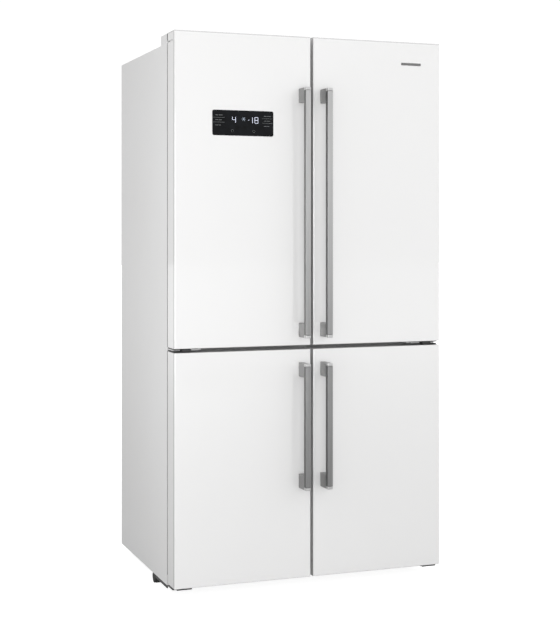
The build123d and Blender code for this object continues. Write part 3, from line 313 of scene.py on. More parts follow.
M = {
    "door": gloss_white(),
    "panel": satin_white(),
    "cover": moulded("cover_plastic", 0.76, 0.38, 0.5, 900),
    "liner": moulded("liner_plastic", 0.84, 0.2, 0.32, 500),
    "mullion": moulded("mullion_plastic", 0.74, 0.35, 0.5),
    # Grey paint, made darker to stand in for the shade in the gap between the upper and lower doors
    "divider": moulded("divider_grey_paint", 0.34, 0.35, 0.5, 900),
    "black": moulded("black_plastic", 0.028, 0.4, 0.62, 900),
    "fan": moulded("fan_plastic", 0.07, 0.35, 0.5),
    "hinge": enamel("hinge_white_paint", 0.66, 0.3, 0.45),
    "bar_front": bar_steel(),
    # Darker steel for the bars' sides: painted shade standing in for their dark reflection
    "bar_side": brushed("bar_side_steel", 0.14, 0.30, 0.46, ALONG_Z),
    "post": brushed("post_cast_metal", 0.31, 0.34, 0.5, ALONG_Z, 0.06),
    "polished": polished("bar_end_polished", 0.56, 0.32, 0.44),
    "trim": brushed("shelf_trim_aluminium", 0.72, 0.22, 0.36, ALONG_X),
    "display": display_glass(),
    "digit": glow("digit_light", (0.80, 0.84, 1.0), 0.9),
    "digit_dim": glow("digit_light_dim", (0.36, 0.42, 0.5), 0.22),
    "legend": glow("legend_print", (0.17, 0.18, 0.18), 0.09),
    "lamp": glow("lamp_diffuser", (1.0, 0.96, 0.88), 0.8),
    "glass": clear("shelf_glass", (0.90, 0.97, 0.95), 0.0, 0.04, 1.0, 1.5),
    "bin": clear("bin_plastic", (0.93, 0.96, 0.98), 0.04, 0.12, 0.9),
    "drawer": clear("drawer_plastic", (0.90, 0.94, 0.97), 0.28, 0.42, 0.75, grain=0.1),
    "back": galvanised(),
    "base": enamel("base_black_paint", 0.02, 0.35, 0.55),
    "coil": enamel("coil_black_paint", 0.018, 0.3, 0.5),
    "shell": enamel("compressor_enamel", 0.012, 0.18, 0.32),
    "fins": brushed("fin_aluminium", 0.66, 0.3, 0.5, ALONG_Z),
    # Grey vinyl, made darker to stand in for the shade in the gaps round the doors
    "gasket": rubber("gasket_vinyl", 0.30),
    "tyre": rubber("roller_nylon", 0.035),
    "copper": copper(),
    "foam": foam_skin(),
    "screw": polished("screw_zinc", 0.55),
    "badge": brushed("badge_steel", 0.22, 0.2, 0.32, ALONG_X),
}

# Finish of each CAD node
NODE_FINISH = {
    "side_panel_left": "panel", "side_panel_right": "panel", "top_panel": "panel",
    "back_panel": "back", "base_pan": "base", "cabinet_foam": "foam",
    "top_cover": "cover",
    "upper_hinges": "hinge", "middle_hinges": "hinge", "lower_hinges": "base",
    "fridge_liner": "liner", "freezer_liner_left": "liner", "freezer_liner_right": "liner",
    "front_divider": "divider", "glass_shelves": "glass", "shelf_trims": "trim", "crisper_cover": "glass",
    "fridge_air_duct": "liner", "freezer_air_ducts": "liner", "interior_lamps": "lamp",
    "evaporator": "fins", "compressor": "shell", "condenser": "coil", "evaporation_tray": "black",
    "rear_grille": "black", "mains_inlet": "black", "foot_left": "black", "foot_right": "black",
    "front_rollers": "tyre", "rear_rollers": "tyre", "condenser_fan": "fan", "evaporator_fan": "fan",
    "door_mullion": "mullion", "control_panel": "display",
    "door_bins_left": "bin", "door_bins_right": "bin", "crisper_left": "bin", "crisper_right": "bin",
}
for side_name in SIDES:
    for level in LEVELS:
        NODE_FINISH[f"door_skin_{level}_{side_name}"] = "door"
        NODE_FINISH[f"door_liner_{level}_{side_name}"] = "liner"
    for shelf in SHELVES:
        NODE_FINISH[f"freezer_drawer_{side_name}_{shelf}"] = "drawer"
for node, finish in NODE_FINISH.items():
    materials = frame["nodes"][node].data.materials
    materials.clear()
    materials.append(M[finish])


# ------------------------------------------------------------------ mesh helpers
SMOOTH_ANGLE = 35
SCREW_RADIUS = 4.5 * MM


def piece(name, bm, body, slot, *finishes, smooth=SMOOTH_ANGLE):
    """Turns a bmesh into a piece that rides on a body. Faces keep their material numbers."""
    bmesh.ops.recalc_face_normals(bm, faces=bm.faces)
    mesh = bpy.data.meshes.new(name)
    bm.to_mesh(mesh)
    bm.free()
    for finish in finishes:
        mesh.materials.append(M[finish])
    obj = bpy.data.objects.new(name, mesh)
    bpy.context.scene.collection.objects.link(obj)
    if smooth:
        mesh.shade_smooth()
        mesh.set_sharp_from_angle(angle=math.radians(smooth))
        even = obj.modifiers.new("even_normals", "WEIGHTED_NORMAL")
        even.weight = 100
        even.keep_sharp = True
    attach(obj, body)
    return obj


def rounded_box(bm, low, high, radius, finish=0, segments=3):
    """Box with its edges rounded over."""
    low, high = Vector(low), Vector(high)
    made = bmesh.ops.create_cube(bm, size=1.0)
    verts = made["verts"]
    size, centre = high - low, (low + high) / 2
    for v in verts:
        v.co = Vector((v.co.x * size.x, v.co.y * size.y, v.co.z * size.z)) + centre
    edges = {e for v in verts for e in v.link_edges}
    faces = {f for v in verts for f in v.link_faces}
    before = set(bm.faces) - faces
    bmesh.ops.bevel(
        bm, geom=list(edges), offset=radius, segments=segments, affect="EDGES", profile=0.5
    )
    new = [f for f in bm.faces if f not in before]
    for f in new:
        f.material_index = finish
    return new


def spun(bm, profile, centre, axis, finish=0, steps=20):
    """Solid of revolution: profile is (radius, height) points along the axis from the centre."""
    turn = Vector((0, 0, 1)).rotation_difference(Vector(axis)).to_matrix()
    centre = Vector(centre)
    rings = []
    for radius, height in profile:
        if radius == 0:
            rings.append([bm.verts.new(centre + turn @ Vector((0, 0, height)))])
            continue
        ring = []
        for i in range(steps):
            a = 2 * math.pi * i / steps
            point = Vector((radius * math.cos(a), radius * math.sin(a), height))
            ring.append(bm.verts.new(centre + turn @ point))
        rings.append(ring)
    for lower, upper in zip(rings, rings[1:]):
        for i in range(steps):
            j = (i + 1) % steps
            corners = ((lower, i), (lower, j), (upper, j), (upper, i))
            unique = list(dict.fromkeys(verts[k % len(verts)] for verts, k in corners))
            if len(unique) > 2:
                bm.faces.new(unique).material_index = finish
    for ring in (rings[0], rings[-1]):
        if len(ring) > 2:
            bm.faces.new(ring).material_index = finish


def screw(bm, centre, axis):
    """Pan-head screw in finish 0, with a cross in finish 1."""
    r = SCREW_RADIUS
    profile = [(r, 0), (r, r * 0.18), (r * 0.85, r * 0.42), (r * 0.5, r * 0.58), (0, r * 0.62)]
    spun(bm, profile, centre, axis, steps=16)
    axis = Vector(axis)
    across = Vector((0, 0, 1)) if abs(axis.z) < 0.5 else Vector((1, 0, 0))
    other = axis.cross(across)
    top = Vector(centre) + axis * r * 0.6
    for long, short in ((across, other), (other, across)):
        half = long * r * 0.55 + short * r * 0.12
        size = Vector([abs(c) for c in half]) + Vector([abs(c) for c in axis * r * 0.06])
        rounded_box(bm, top - size, top + size, r * 0.03, 1, 1)


# ------------------------------------------------------------------ handles
END_CAP = 9 * MM
BAR_DEPTH = 17 * MM
POST_HEIGHT = 45 * MM
JOINT = 0.25 * MM
FOOT_PAD = 0.8 * MM
POST_OVERLAP = 0.5 * MM
PAD_INSET, PAD_OVERLAP = 0.8 * MM, 0.1 * MM
BAR_EDGE, CAP_EDGE, POST_EDGE, PAD_EDGE = 1.1 * MM, 1.6 * MM, 0.9 * MM, 0.3 * MM


def handle(level, side_name):
    """Square bar with bright end caps and painted shade on its sides, on two cast posts with black pads.
    """
    node = f"handle_{level}_{side_name}"
    low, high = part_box(node)
    bm = bmesh.new()
    bar_back = low.y + BAR_DEPTH
    bar_low = (low.x, low.y, low.z + END_CAP + JOINT)
    bar = rounded_box(bm, bar_low, (high.x, bar_back, high.z - END_CAP - JOINT), BAR_EDGE)
    bm.normal_update()
    # The bar's side faces take the darker steel, painted shade for their dark reflection
    for f in bar:
        if abs(f.normal.x) > 0.6:
            f.material_index = 1
    for end, step in ((low.z, 1), (high.z, -1)):
        cap = sorted((end, end + step * END_CAP))
        rounded_box(bm, (low.x, low.y, cap[0]), (high.x, bar_back, cap[1]), CAP_EDGE, 2)
        post = sorted((end, end + step * POST_HEIGHT))
        foot = high.y - FOOT_PAD
        post_low = (low.x + JOINT, bar_back - POST_OVERLAP, post[0] + JOINT)
        rounded_box(bm, post_low, (high.x - JOINT, foot, post[1]), POST_EDGE, 3)
        pad_low = (low.x + PAD_INSET, foot - PAD_OVERLAP, post[0] + PAD_INSET)
        rounded_box(bm, pad_low, (high.x - PAD_INSET, high.y, post[1] - PAD_INSET), PAD_EDGE, 4)
    body = f"door_{level}_{side_name}"
    obj = piece(f"bar_handle_{level}_{side_name}", bm, body, "handle_steel",
                "bar_front", "bar_side", "polished", "post", "black")
    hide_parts(node)


# ------------------------------------------------------------------ door seals
# Section of the seal, in millimetres: inward from the edge, and out from the door
BELLOWS = [
    (0, 0), (0, 1.2), (1.6, 1.6), (1.0, 3.0), (2.2, 4.2), (1.4, 5.4), (2.6, 7.0), (4.0, 7.3),
    (12.5, 7.3), (13.6, 6.8), (14.4, 5.4), (13.4, 4.2), (14.6, 3.0), (14.0, 1.6), (18, 1.2), (18, 0),
]


def seal(level, side_name):
    """Magnetic door seal: the bellows section swept round a mitred rectangle."""
    node = f"door_gasket_{level}_{side_name}"
    low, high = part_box(node)
    bm = bmesh.new()
    loops = []
    for inward, out in BELLOWS:
        d, y = inward * MM, low.y + out * MM
        x0, x1, z0, z1 = low.x + d, high.x - d, low.z + d, high.z - d
        loops.append([bm.verts.new((x, y, z)) for x, z in ((x0, z0), (x1, z0), (x1, z1), (x0, z1))])
    for a, b in zip(loops, loops[1:] + loops[:1]):
        for i in range(4):
            bm.faces.new((a[i], a[(i + 1) % 4], b[(i + 1) % 4], b[i]))
    body = f"door_{level}_{side_name}"
    obj = piece(f"seal_{level}_{side_name}", bm, body, "gasket_grey", "gasket", smooth=0)
    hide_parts(node)


# ------------------------------------------------------------------ display
SEGMENTS = {"1": "bc", "4": "bcfg", "8": "abcdefg", "-": "g"}
# Millimetres from the left edge of the glass to each figure's middle, and its width
FIGURES = (("4", 71.5, 12), ("-", 120.5, 6), ("1", 130.0, 8), ("8", 146.5, 12))
FIGURE_DROP = 30 * MM
FIGURE_HEIGHT = 20 * MM
FIGURE_FRONT, FIGURE_EDGE = 0.12 * MM, 0.05 * MM
STROKE = 1.3 * MM
STROKE_GAP = 0.2 * MM
FROST_PLACE = Vector((104 * MM, -0.1 * MM, 3 * MM))
FROST_ARM = 6.5 * MM
FROST_HALF = 0.5 * MM
FROST_DEPTH = 0.15 * MM
# Rows in millimetres below the top edge of the glass, and columns from its left edge:
# start and stop of the rules, and start of the words' strips
LEGEND_ROWS = (15.5, 30.7, 47.4)
RULE_ROWS = (24, 38.8)
LEGEND_COLUMNS = ((1, 40, 10), (166, 201, 172))
# Thickness of the rules and words, and the words' lengths along their strip
RULE_HEIGHT, WORD_HEIGHT = 0.6, 1.2
FIRST_WORD, SECOND_WORD, SHORTER_BY_ROW = 9, (11, 24), 3
TOUCH_MARKS = (66, 138)
TOUCH_DROP = 65 * MM
TOUCH_OUTER, TOUCH_INNER, TOUCH_FRONT = 4.2 * MM, 3.7 * MM, 0.1 * MM
PRINT_FRONT, PRINT_BACK, PRINT_EDGE = 0.08 * MM, 0.05 * MM, 0.04 * MM


def digit(bm, text, x, z, width, height, y):
    """Seven-segment figure whose centre is at x, z."""
    w, h, t = width / 2, height / 2, STROKE
    inner, corner = w - t * 0.8, h - t * 0.6
    bars = {
        "a": ((-inner, h - t), (inner, h)),
        "d": ((-inner, -h), (inner, -h + t)),
        "g": ((-inner, -t / 2), (inner, t / 2)),
        "b": ((w - t, 0), (w, corner)),
        "c": ((w - t, -corner), (w, 0)),
        "f": ((-w, 0), (-w + t, corner)),
        "e": ((-w, -corner), (-w + t, 0)),
    }
    for name in SEGMENTS[text]:
        (x0, z0), (x1, z1) = bars[name]
        low = (x + x0 + STROKE_GAP, y - FIGURE_FRONT, z + z0 + STROKE_GAP)
        high = (x + x1 - STROKE_GAP, y + PRINT_BACK, z + z1 - STROKE_GAP)
        rounded_box(bm, low, high, FIGURE_EDGE, 0, 1)


def frost_mark(bm, centre):
    """Six-armed frost mark in finish 1."""
    for turn in range(3):
        a = math.radians(60 * turn)
        arm = Vector((math.cos(a), 0, math.sin(a))) * FROST_ARM
        side = Vector((-math.sin(a), 0, math.cos(a))) * FROST_HALF
        corners = [centre + arm + side, centre - arm + side, centre - arm - side, centre + arm - side]
        front = [bm.verts.new(c) for c in corners]
        back = [bm.verts.new(c + Vector((0, FROST_DEPTH, 0))) for c in corners]
        faces = [bm.faces.new(front), bm.faces.new(back[::-1])]
        for i in range(4):
            faces.append(bm.faces.new((front[i], back[i], back[(i + 1) % 4], front[(i + 1) % 4])))
        for f in faces:
            f.material_index = 1


def display():
    """Lit figures, legend strips and touch marks on the black glass."""
    low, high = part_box("control_panel")
    y, left, top = low.y, low.x, high.z
    figures = top - FIGURE_DROP
    bm = bmesh.new()
    for text, across, width in FIGURES:
        digit(bm, text, left + across * MM, figures, width * MM, FIGURE_HEIGHT, y)
    frost_mark(bm, Vector((left, y, figures)) + FROST_PLACE)
    piece("display_figures", bm, "door_upper_left", "lamp", "digit", "digit_dim", smooth=0)

    def strip(start, stop, drop, height):
        """Flat bar of the first finish, from start to stop and down from the drop."""
        corner = (left + start * MM, y - PRINT_FRONT, top - (drop + height) * MM)
        other = (left + stop * MM, y + PRINT_BACK, top - drop * MM)
        rounded_box(bm, corner, other, PRINT_EDGE, 0, 1)

    bm = bmesh.new()
    for start, stop, words in LEGEND_COLUMNS:
        for drop in RULE_ROWS:
            strip(start, stop, drop - RULE_HEIGHT, RULE_HEIGHT)
        for row, drop in enumerate(LEGEND_ROWS):
            begin, end = SECOND_WORD
            strip(words, words + FIRST_WORD, drop, WORD_HEIGHT)
            strip(words + begin, words + end - SHORTER_BY_ROW * row, drop, WORD_HEIGHT)
    ring_profile = [
        (TOUCH_OUTER, 0), (TOUCH_OUTER, TOUCH_FRONT), (TOUCH_INNER, TOUCH_FRONT), (TOUCH_INNER, 0),
    ]
    for across in TOUCH_MARKS:
        spun(bm, ring_profile, (left + across * MM, y, top - TOUCH_DROP), (0, -1, 0), steps=28)
    piece("display_legends", bm, "door_upper_left", "lamp", "legend", smooth=0)


# How far glued parts sink into what carries them
SUNK = 0.2 * MM
BADGE_WIDTH, BADGE_HALF_HEIGHT = 72 * MM, 4.2 * MM
BADGE_PROUD, BADGE_EDGE = 1.2 * MM, 0.6 * MM
BADGE_FROM_EDGE, BADGE_FROM_TOP = 70 * MM, 73 * MM


def badge():
    """Blank brushed plate high on the right door."""
    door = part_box("door_skin_upper_right")
    right, z = door[1].x - BADGE_FROM_EDGE, door[1].z - BADGE_FROM_TOP
    low = (right - BADGE_WIDTH, DOOR_FRONT_Y - BADGE_PROUD, z - BADGE_HALF_HEIGHT)
    bm = bmesh.new()
    rounded_box(bm, low, (right, DOOR_FRONT_Y + SUNK, z + BADGE_HALF_HEIGHT), BADGE_EDGE)
    piece("blank_badge", bm, "door_upper_right", "trim_silver", "badge")


# ------------------------------------------------------------------ small hardware
# Insets of a part's two ends from the outer side, in millimetres
WASHER_ACROSS = (0.5, 24)
CLOSER_ACROSS = (26, 56)
EDGING_ACROSS = (0.2, 9)
SHOE_ACROSS = (6, 56)
# Space left to the doors above and below
WASHER_CLEAR, CLOSER_CLEAR, SHOE_CLEAR = 0.6 * MM, 1.4 * MM, 1.5 * MM
# Reach from the hinge's front or back edge; positive is towards the back
WASHER_FRONT, WASHER_BACK = -18 * MM, -6 * MM
CLOSER_FRONT, CLOSER_BACK = -24 * MM, 1 * MM
HINGE_PLATE_HALF = 2.3 * MM
WASHER_EDGE, CLOSER_EDGE, EDGING_EDGE, SHOE_EDGE = 1 * MM, 2.5 * MM, 0.8 * MM, 1.5 * MM
# Edging runs from above the lower hinges to below the side panel's top; the stops lie over it
EDGING_DEPTH = 2.7 * MM
EDGING_ABOVE_HINGE, EDGING_BELOW_TOP = 3 * MM, 1 * MM
STOP_ABOVE_PANEL, STOP_BELOW_COVER = 7.5 * MM, 0.6 * MM
SHOE_BEHIND_DOOR_FRONT, SHOE_BEHIND_HINGE_FRONT, SHOE_LIFT = 9 * MM, 20 * MM, 4.5 * MM
CAP_CLEAR, CAP_SUNK = 0.4 * MM, 0.38 * MM
CAP_RIM, CAP_CROWN, CROWN_SHARE = 0.15 * MM, 0.33 * MM, 0.55
SCREW_INSET, SCREW_SUNK = 14 * MM, 3.2 * MM
GRILLE_SCREW_DROP = 9 * MM
SIDE_SCREWS, TOP_SPACING, GRILLE_SCREWS = 7, 5, 5


def side_span(side, outer, insets):
    """Low and high x of a part on one side, from its insets."""
    return sorted(side * (outer - inset * MM) for inset in insets)


def evenly(start, stop, count):
    """Evenly spaced values, both ends among them."""
    return [start + (stop - start) * i / (count - 1) for i in range(count)]


def hinge_closers():
    """Black washers above and below each middle hinge plate, and the door closer before it."""
    low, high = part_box("middle_hinges")
    gap = (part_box("door_skin_lower_left")[1].z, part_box("door_skin_upper_left")[0].z)
    middle = (gap[0] + gap[1]) / 2
    washers = (
        (gap[0] + WASHER_CLEAR, middle - HINGE_PLATE_HALF),
        (middle + HINGE_PLATE_HALF, gap[1] - WASHER_CLEAR),
    )
    bm = bmesh.new()
    for side in SIDES.values():
        x0, x1 = side_span(side, high.x, WASHER_ACROSS)
        for z0, z1 in washers:
            front, back = (x0, low.y + WASHER_FRONT, z0), (x1, high.y + WASHER_BACK, z1)
            rounded_box(bm, front, back, WASHER_EDGE)
        x0, x1 = side_span(side, high.x, CLOSER_ACROSS)
        front = (x0, low.y + CLOSER_FRONT, gap[0] + CLOSER_CLEAR)
        back = (x1, low.y + CLOSER_BACK, gap[1] - CLOSER_CLEAR)
        rounded_box(bm, front, back, CLOSER_EDGE)
    piece("hinge_closers", bm, "cabinet", "black_plastic", "black")


def gap_edges():
    """Grey edging on the cabinet's front rim, a strip of painted shade that darkens the gap behind the
    doors, and black end stops beside the hinge cover.
    """
    cover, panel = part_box("top_cover"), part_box("side_panel_left")
    lower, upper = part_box("door_skin_lower_left"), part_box("door_skin_upper_left")
    front = cover[0].y
    runs = (
        (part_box("lower_hinges")[1].z + EDGING_ABOVE_HINGE, lower[1].z, 0),
        (upper[0].z, panel[1].z - EDGING_BELOW_TOP, 0),
        (panel[1].z + STOP_ABOVE_PANEL, cover[1].z - STOP_BELOW_COVER, 1),
    )
    bm = bmesh.new()
    for side in SIDES.values():
        x0, x1 = side_span(side, cover[1].x, EDGING_ACROSS)
        # The grey edging runs are painted shade for the gap behind the doors
        for z0, z1, finish in runs:
            low, high = (x0, front - EDGING_DEPTH, z0), (x1, front + SUNK, z1)
            rounded_box(bm, low, high, EDGING_EDGE, finish)
    piece("gap_edges", bm, "cabinet", "gasket_grey", "gasket", "black")


def hinge_feet():
    """Dark shoes under the doors' outer corners, on the lower hinge arms."""
    low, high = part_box("lower_hinges")
    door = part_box("door_skin_lower_left")
    bm = bmesh.new()
    for side in SIDES.values():
        x0, x1 = side_span(side, high.x, SHOE_ACROSS)
        front = (x0, DOOR_FRONT_Y + SHOE_BEHIND_DOOR_FRONT, low.z + SHOE_LIFT)
        back = (x1, low.y + SHOE_BEHIND_HINGE_FRONT, door[0].z - SHOE_CLEAR)
        rounded_box(bm, front, back, SHOE_EDGE)
    piece("hinge_feet", bm, "cabinet", "base_black", "base")


def roller_caps():
    """Round caps over the front rollers, on the outer face of each cheek."""
    low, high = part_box("front_rollers")
    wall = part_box("side_panel_right")[1].x
    radius = (high.z - low.z) / 2
    rim = radius - CAP_CLEAR
    profile = [(rim, 0), (rim, CAP_RIM), (radius * CROWN_SHARE, CAP_CROWN), (0, CAP_CROWN)]
    bm = bmesh.new()
    for side in SIDES.values():
        centre = (side * (wall - CAP_SUNK), (low.y + high.y) / 2, low.z + radius)
        spun(bm, profile, centre, (side, 0, 0), steps=36)
    piece("roller_caps", bm, "cabinet", "black_plastic", "tyre", smooth=0)


def back_screws():
    """Screws down the back sheet's sides and along its top, and along the top of the grille."""
    low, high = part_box("back_panel")
    left, right, top = low.x + SCREW_INSET, high.x - SCREW_INSET, high.z - SCREW_INSET
    rows = evenly(low.z + SCREW_INSET, top, SIDE_SCREWS)
    places = [(x, high.y, z) for z in rows for x in (left, right)]
    places += [(x, high.y, top) for x in evenly(low.x, high.x, TOP_SPACING)[1:-1]]
    low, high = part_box("rear_grille")
    left, right, top = low.x + SCREW_INSET, high.x - SCREW_INSET, high.z - GRILLE_SCREW_DROP
    places += [(x, high.y, top) for x in evenly(left, right, GRILLE_SCREWS)]
    bm = bmesh.new()
    for x, y, z in places:
        screw(bm, (x, y - SCREW_SUNK, z), (0, 1, 0))
    piece("back_screws", bm, "cabinet", "trim_silver", "screw", "black")


def pipe(name, points, radius, body="cabinet"):
    """Bent refrigerant pipe through the given points, in metres."""
    curve = bpy.data.curves.new(name, "CURVE")
    curve.dimensions = "3D"
    curve.bevel_depth = radius
    curve.bevel_resolution = 4
    curve.resolution_u = 8
    spline = curve.splines.new("NURBS")
    spline.points.add(len(points) - 1)
    for p, point in zip(spline.points, points):
        p.co = (*point, 1)
    spline.order_u = 3
    spline.use_endpoint_u = True
    obj = bpy.data.objects.new(name, curve)
    bpy.context.scene.collection.objects.link(obj)
    curve.materials.append(M["copper"])
    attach(obj, body)


# The compressor's stubs: how far inside its box the pipes start, and their height above its feet
STUB_DEPTH, STUB_HEIGHT = 4 * MM, 61 * MM
DISCHARGE_RADIUS, SUCTION_RADIUS = 3.2 * MM, 4 * MM


def bay_pipes():
    """Discharge and suction pipes in the compressor bay."""
    low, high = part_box("compressor")
    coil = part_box("condenser")[0].x
    y = (low.y + high.y) / 2
    stub = high.x - STUB_DEPTH
    z = low.z + STUB_HEIGHT
    pipe("discharge_pipe", [
        (stub, y - 0.024, z), (stub + 0.03, y - 0.024, z), (stub + 0.04, y - 0.06, z + 0.06),
        (stub + 0.10, y - 0.088, z + 0.10), (coil + 0.02, y - 0.088, z + 0.10),
        (coil + 0.07, y - 0.086, z + 0.06),
    ], DISCHARGE_RADIUS)
    pipe("suction_pipe", [
        (stub, y + 0.024, z), (stub + 0.028, y + 0.024, z), (stub + 0.034, y + 0.06, z + 0.02),
        (stub + 0.03, y + 0.085, z + 0.08), (stub + 0.03, y + 0.085, z + 0.135),
    ], SUCTION_RADIUS)


# ------------------------------------------------------------------ drawers, crispers and door bins
CORNER = 16 * MM
# Section of a tub's wall, in millimetres: inset from its box, and height from the bottom or top
TUB_WALL = 3
TUB_FOOT = ((7, 0), (3.6, 1.2), (2.4, 4))
TUB_RIM = ((1.2, -6.5), (0, -6), (0, -1), (0.8, 0), (TUB_WALL + 0.6, 0), (TUB_WALL + 1.2, -1))
LIP_DEPTH, LIP_HEIGHT = 12 * MM, 14 * MM
LIP_SIDE, LIP_FRONT, LIP_BACK, LIP_TOP = 1 * MM, 0.6 * MM, 0.4 * MM, 0.3 * MM
# Depths behind a drawer's foremost face, and the gap between the framed front and the tub
FACE_FRONT, FACE_BACK, FACE_GAP = 8.5 * MM, LIP_DEPTH, 0.3 * MM
# Ribs of the front: where they start up its height, and how they lie in it
RIB_SHARES = (0.30, 0.36)
RIB_PROUD, RIB_SUNK, RIB_HEIGHT = 1.2 * MM, 0.4 * MM, 3 * MM
# Drops below the rim, top and bottom
DRAWER_BAND = (5 * MM, 10 * MM)
BIN_RAIL = (8 * MM, 26 * MM)
BIN_BAND = (15 * MM, 19 * MM)
DRAWER_BAND_DEPTH, BIN_BAND_DEPTH = 1.4 * MM, 1 * MM
# A bin's guard rail: depths of its two faces inside the bin's free side
RAIL_FRONT, RAIL_BACK = 2.6 * MM, 0.3 * MM
# A bin reaches this far below and above the space it leaves free
BIN_FLOOR, BIN_RIM = 4 * MM, 1 * MM
FACE_EDGE, RIB_EDGE, LIP_EDGE, RAIL_EDGE = 1.6 * MM, 0.6 * MM, 3 * MM, 1 * MM
DRAWER_BAND_EDGE, BIN_BAND_EDGE = 0.5 * MM, 0.4 * MM


def ring(bm, low, high, inset, z, steps=4):
    """Rounded rectangle of vertices inset from a box, at the height z."""
    x0, y0, x1, y1 = low.x + inset, low.y + inset, high.x - inset, high.y - inset
    r = CORNER - inset
    corners = ((x1 - r, y1 - r), (x0 + r, y1 - r), (x0 + r, y0 + r), (x1 - r, y0 + r))
    verts = []
    for quarter, (x, y) in enumerate(corners):
        for i in range(steps + 1):
            a = math.radians(90 * (quarter + i / steps))
            verts.append(bm.verts.new((x + r * math.cos(a), y + r * math.sin(a), z)))
    return verts


def tub(bm, low, high):
    """Open box with rounded corners, a little draft and a rolled rim."""
    profile = [(inset, low.z + up * MM) for inset, up in TUB_FOOT]
    profile += [(inset, high.z + up * MM) for inset, up in TUB_RIM]
    profile += [(TUB_WALL + inset, low.z + (TUB_WALL + up) * MM) for inset, up in TUB_FOOT[::-1]]
    rings = [ring(bm, low, high, inset * MM, z) for inset, z in profile]
    count = len(rings[0])
    for below, above in zip(rings, rings[1:]):
        for i in range(count):
            j = (i + 1) % count
            bm.faces.new((below[i], below[j], above[j], above[i]))
    bm.faces.new(rings[0])
    bm.faces.new(rings[-1])


def drawer(name, plastic):
    """Moulded tub with a framed front and a white pull lip with a bright band."""
    low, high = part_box(name)
    left, right = low.x + CORNER, high.x - CORNER
    front, back = low.y + FACE_FRONT, low.y + FACE_BACK
    bm = bmesh.new()
    tub(bm, Vector((low.x, back + FACE_GAP, low.z)), high)
    rounded_box(bm, (low.x, front, low.z), (high.x, back, high.z), FACE_EDGE)
    for share in RIB_SHARES:
        z = low.z + (high.z - low.z) * share
        rib_low, rib_high = (left, front - RIB_PROUD, z), (right, front + RIB_SUNK, z + RIB_HEIGHT)
        rounded_box(bm, rib_low, rib_high, RIB_EDGE)
    lip_low = (low.x + LIP_SIDE, low.y + LIP_FRONT, high.z - LIP_HEIGHT)
    lip_high = (high.x - LIP_SIDE, back - LIP_BACK, high.z - LIP_TOP)
    rounded_box(bm, lip_low, lip_high, LIP_EDGE, 1)
    band_low = (left, low.y, high.z - DRAWER_BAND[1])
    band_high = (right, low.y + DRAWER_BAND_DEPTH, high.z - DRAWER_BAND[0])
    rounded_box(bm, band_low, band_high, DRAWER_BAND_EDGE, 2)
    slot = "clear_plastic" if plastic == "bin" else "drawer_plastic"
    obj = piece(f"{name}_tub", bm, name, slot, plastic, "liner", "trim")
    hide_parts(name)


def door_bins(side_name):
    """Three clear tubs on the door, each with a white guard rail and a bright band."""
    node = f"door_bins_{side_name}"
    low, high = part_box(node)
    left, right = low.x + CORNER, high.x - CORNER
    openings = frame["record"]["physics"]["openings"]
    spaces = [o["box_m"] for o in openings if f"door_bin_space_{side_name}" in o["name"]]
    bm = bmesh.new()
    for space in spaces:
        base, top = space[0][2] - BIN_FLOOR, space[1][2] + BIN_RIM
        tub(bm, Vector((low.x, low.y, base)), Vector((high.x, high.y, top)))
        rail_low = (left, high.y - RAIL_FRONT, top - BIN_RAIL[1])
        rounded_box(bm, rail_low, (right, high.y - RAIL_BACK, top - BIN_RAIL[0]), RAIL_EDGE, 1)
        band_low = (left, high.y - BIN_BAND_DEPTH, top - BIN_BAND[1])
        rounded_box(bm, band_low, (right, high.y, top - BIN_BAND[0]), BIN_BAND_EDGE, 2)
    obj = piece(f"{node}_tubs", bm, f"door_upper_{side_name}", "clear_plastic", "bin", "liner", "trim")
    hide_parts(node)


for level in LEVELS:
    for side_name in SIDES:
        handle(level, side_name)
        seal(level, side_name)
display()
badge()
hinge_closers()
back_screws()
gap_edges()
hinge_feet()
roller_caps()
bay_pipes()
for side_name in SIDES:
    drawer(f"crisper_{side_name}", "bin")
    for shelf in SHELVES:
        drawer(f"freezer_drawer_{side_name}_{shelf}", "drawer")
    door_bins(side_name)


# ------------------------------------------------------------------ stage, light and camera
FLOOR_HALF = 40
SENSOR_MM, LENS_MM, LENS_SHIFT = 36, 77.14, -0.1266
CAMERA_X, CAMERA_BEFORE_DOORS, CAMERA_Z = -1.599, 3.982, 1.152
CAMERA_TURN = -20.5


def area_light(name, place, target, size, watts):
    """Soft box that lights the object and shows in its gloss, but not in the picture."""
    light = bpy.data.lights.new(name, "AREA")
    light.shape = "RECTANGLE"
    light.size, light.size_y = size
    light.energy = watts
    obj = bpy.data.objects.new(name, light)
    obj.location = place
    obj.rotation_euler = (Vector(target) - Vector(place)).to_track_quat("-Z", "Y").to_euler()
    obj.visible_camera = False
    bpy.context.scene.collection.objects.link(obj)


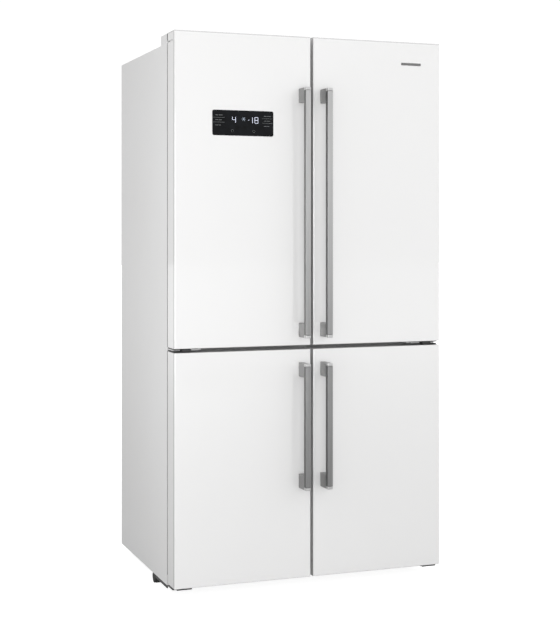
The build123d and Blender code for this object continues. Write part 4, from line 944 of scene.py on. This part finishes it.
def floor():
    """Pale studio floor, paler with distance, and lifted to the backdrop's white for the lens."""
    f = Finish("studio_floor", shade(0.44), 0.7)
    f.tint(f.noise(0.8, 2), shade(0.435), shade(0.445))
    tree = f.material.node_tree
    path = f.nodes.new("ShaderNodeLightPath")
    far = f.nodes.new("ShaderNodeVectorMath")
    far.operation = "LENGTH"
    f.links.new(f.place, far.inputs[0])
    away = ramp_node(tree, far.outputs["Value"], 0.9, 12.0, 0.05, 0.55)
    lift = ramp_node(tree, path.outputs["Is Camera Ray"], 0.0, 1.0, 0.0, 0.86)
    f.shader.inputs["Emission Color"].default_value = (1, 1, 1, 1)
    f.links.new(math_node(tree, "ADD", away, lift), f.shader.inputs["Emission Strength"])
    bm = bmesh.new()
    bmesh.ops.create_grid(bm, x_segments=1, y_segments=1, size=FLOOR_HALF)
    mesh = bpy.data.meshes.new("floor")
    bm.to_mesh(mesh)
    bm.free()
    mesh.materials.append(f.material)
    obj = bpy.data.objects.new("floor", mesh)
    bpy.context.scene.collection.objects.link(obj)


def world():
    """White backdrop for the lens, and a dome for the light: brighter above and to the right."""
    w = bpy.data.worlds.new("studio")
    bpy.context.scene.world = w
    w.use_nodes = True
    tree = w.node_tree
    dome = tree.nodes["Background"]
    dome.inputs["Color"].default_value = (1, 1, 1, 1)
    where = tree.nodes.new("ShaderNodeSeparateXYZ")
    tree.links.new(tree.nodes.new("ShaderNodeTexCoord").outputs["Generated"], where.inputs["Vector"])
    across = ramp_node(tree, where.outputs["X"], -1.0, 1.0, 0.66, 1.12)
    up = ramp_node(tree, where.outputs["Z"], 0.0, 0.25, 0.86, 0.99)
    tree.links.new(math_node(tree, "MULTIPLY", across, up), dome.inputs["Strength"])
    plain = tree.nodes.new("ShaderNodeBackground")
    plain.inputs["Color"].default_value = (1, 1, 1, 1)
    plain.inputs["Strength"].default_value = 1.05
    path = tree.nodes.new("ShaderNodeLightPath")
    mix = tree.nodes.new("ShaderNodeMixShader")
    tree.links.new(path.outputs["Is Camera Ray"], mix.inputs["Fac"])
    tree.links.new(dome.outputs["Background"], mix.inputs[1])
    tree.links.new(plain.outputs["Background"], mix.inputs[2])
    tree.links.new(mix.outputs["Shader"], tree.nodes["World Output"].inputs["Surface"])


def camera():
    """Level long lens before the left corner, with its picture shifted down."""
    data = bpy.data.cameras.new("camera")
    data.sensor_width = SENSOR_MM
    data.lens = LENS_MM
    data.shift_y = LENS_SHIFT
    obj = bpy.data.objects.new("camera", data)
    obj.location = (CAMERA_X, DOOR_FRONT_Y - CAMERA_BEFORE_DOORS, CAMERA_Z)
    obj.rotation_euler = (math.radians(90), 0, math.radians(CAMERA_TURN))
    bpy.context.scene.collection.objects.link(obj)
    bpy.context.scene.camera = obj


floor()
world()
area_light("key_front", (-1.2, -5.6, 0.9), (0, -0.3, 0.8), (3.0, 2.2), 118)
area_light("side_strip", (-1.3, -0.56, 0.84), (-0.46, -0.34, 0.82), (0.34, 2.3), 3.9)
camera()
bpy.context.scene.view_settings.view_transform = "Standard"
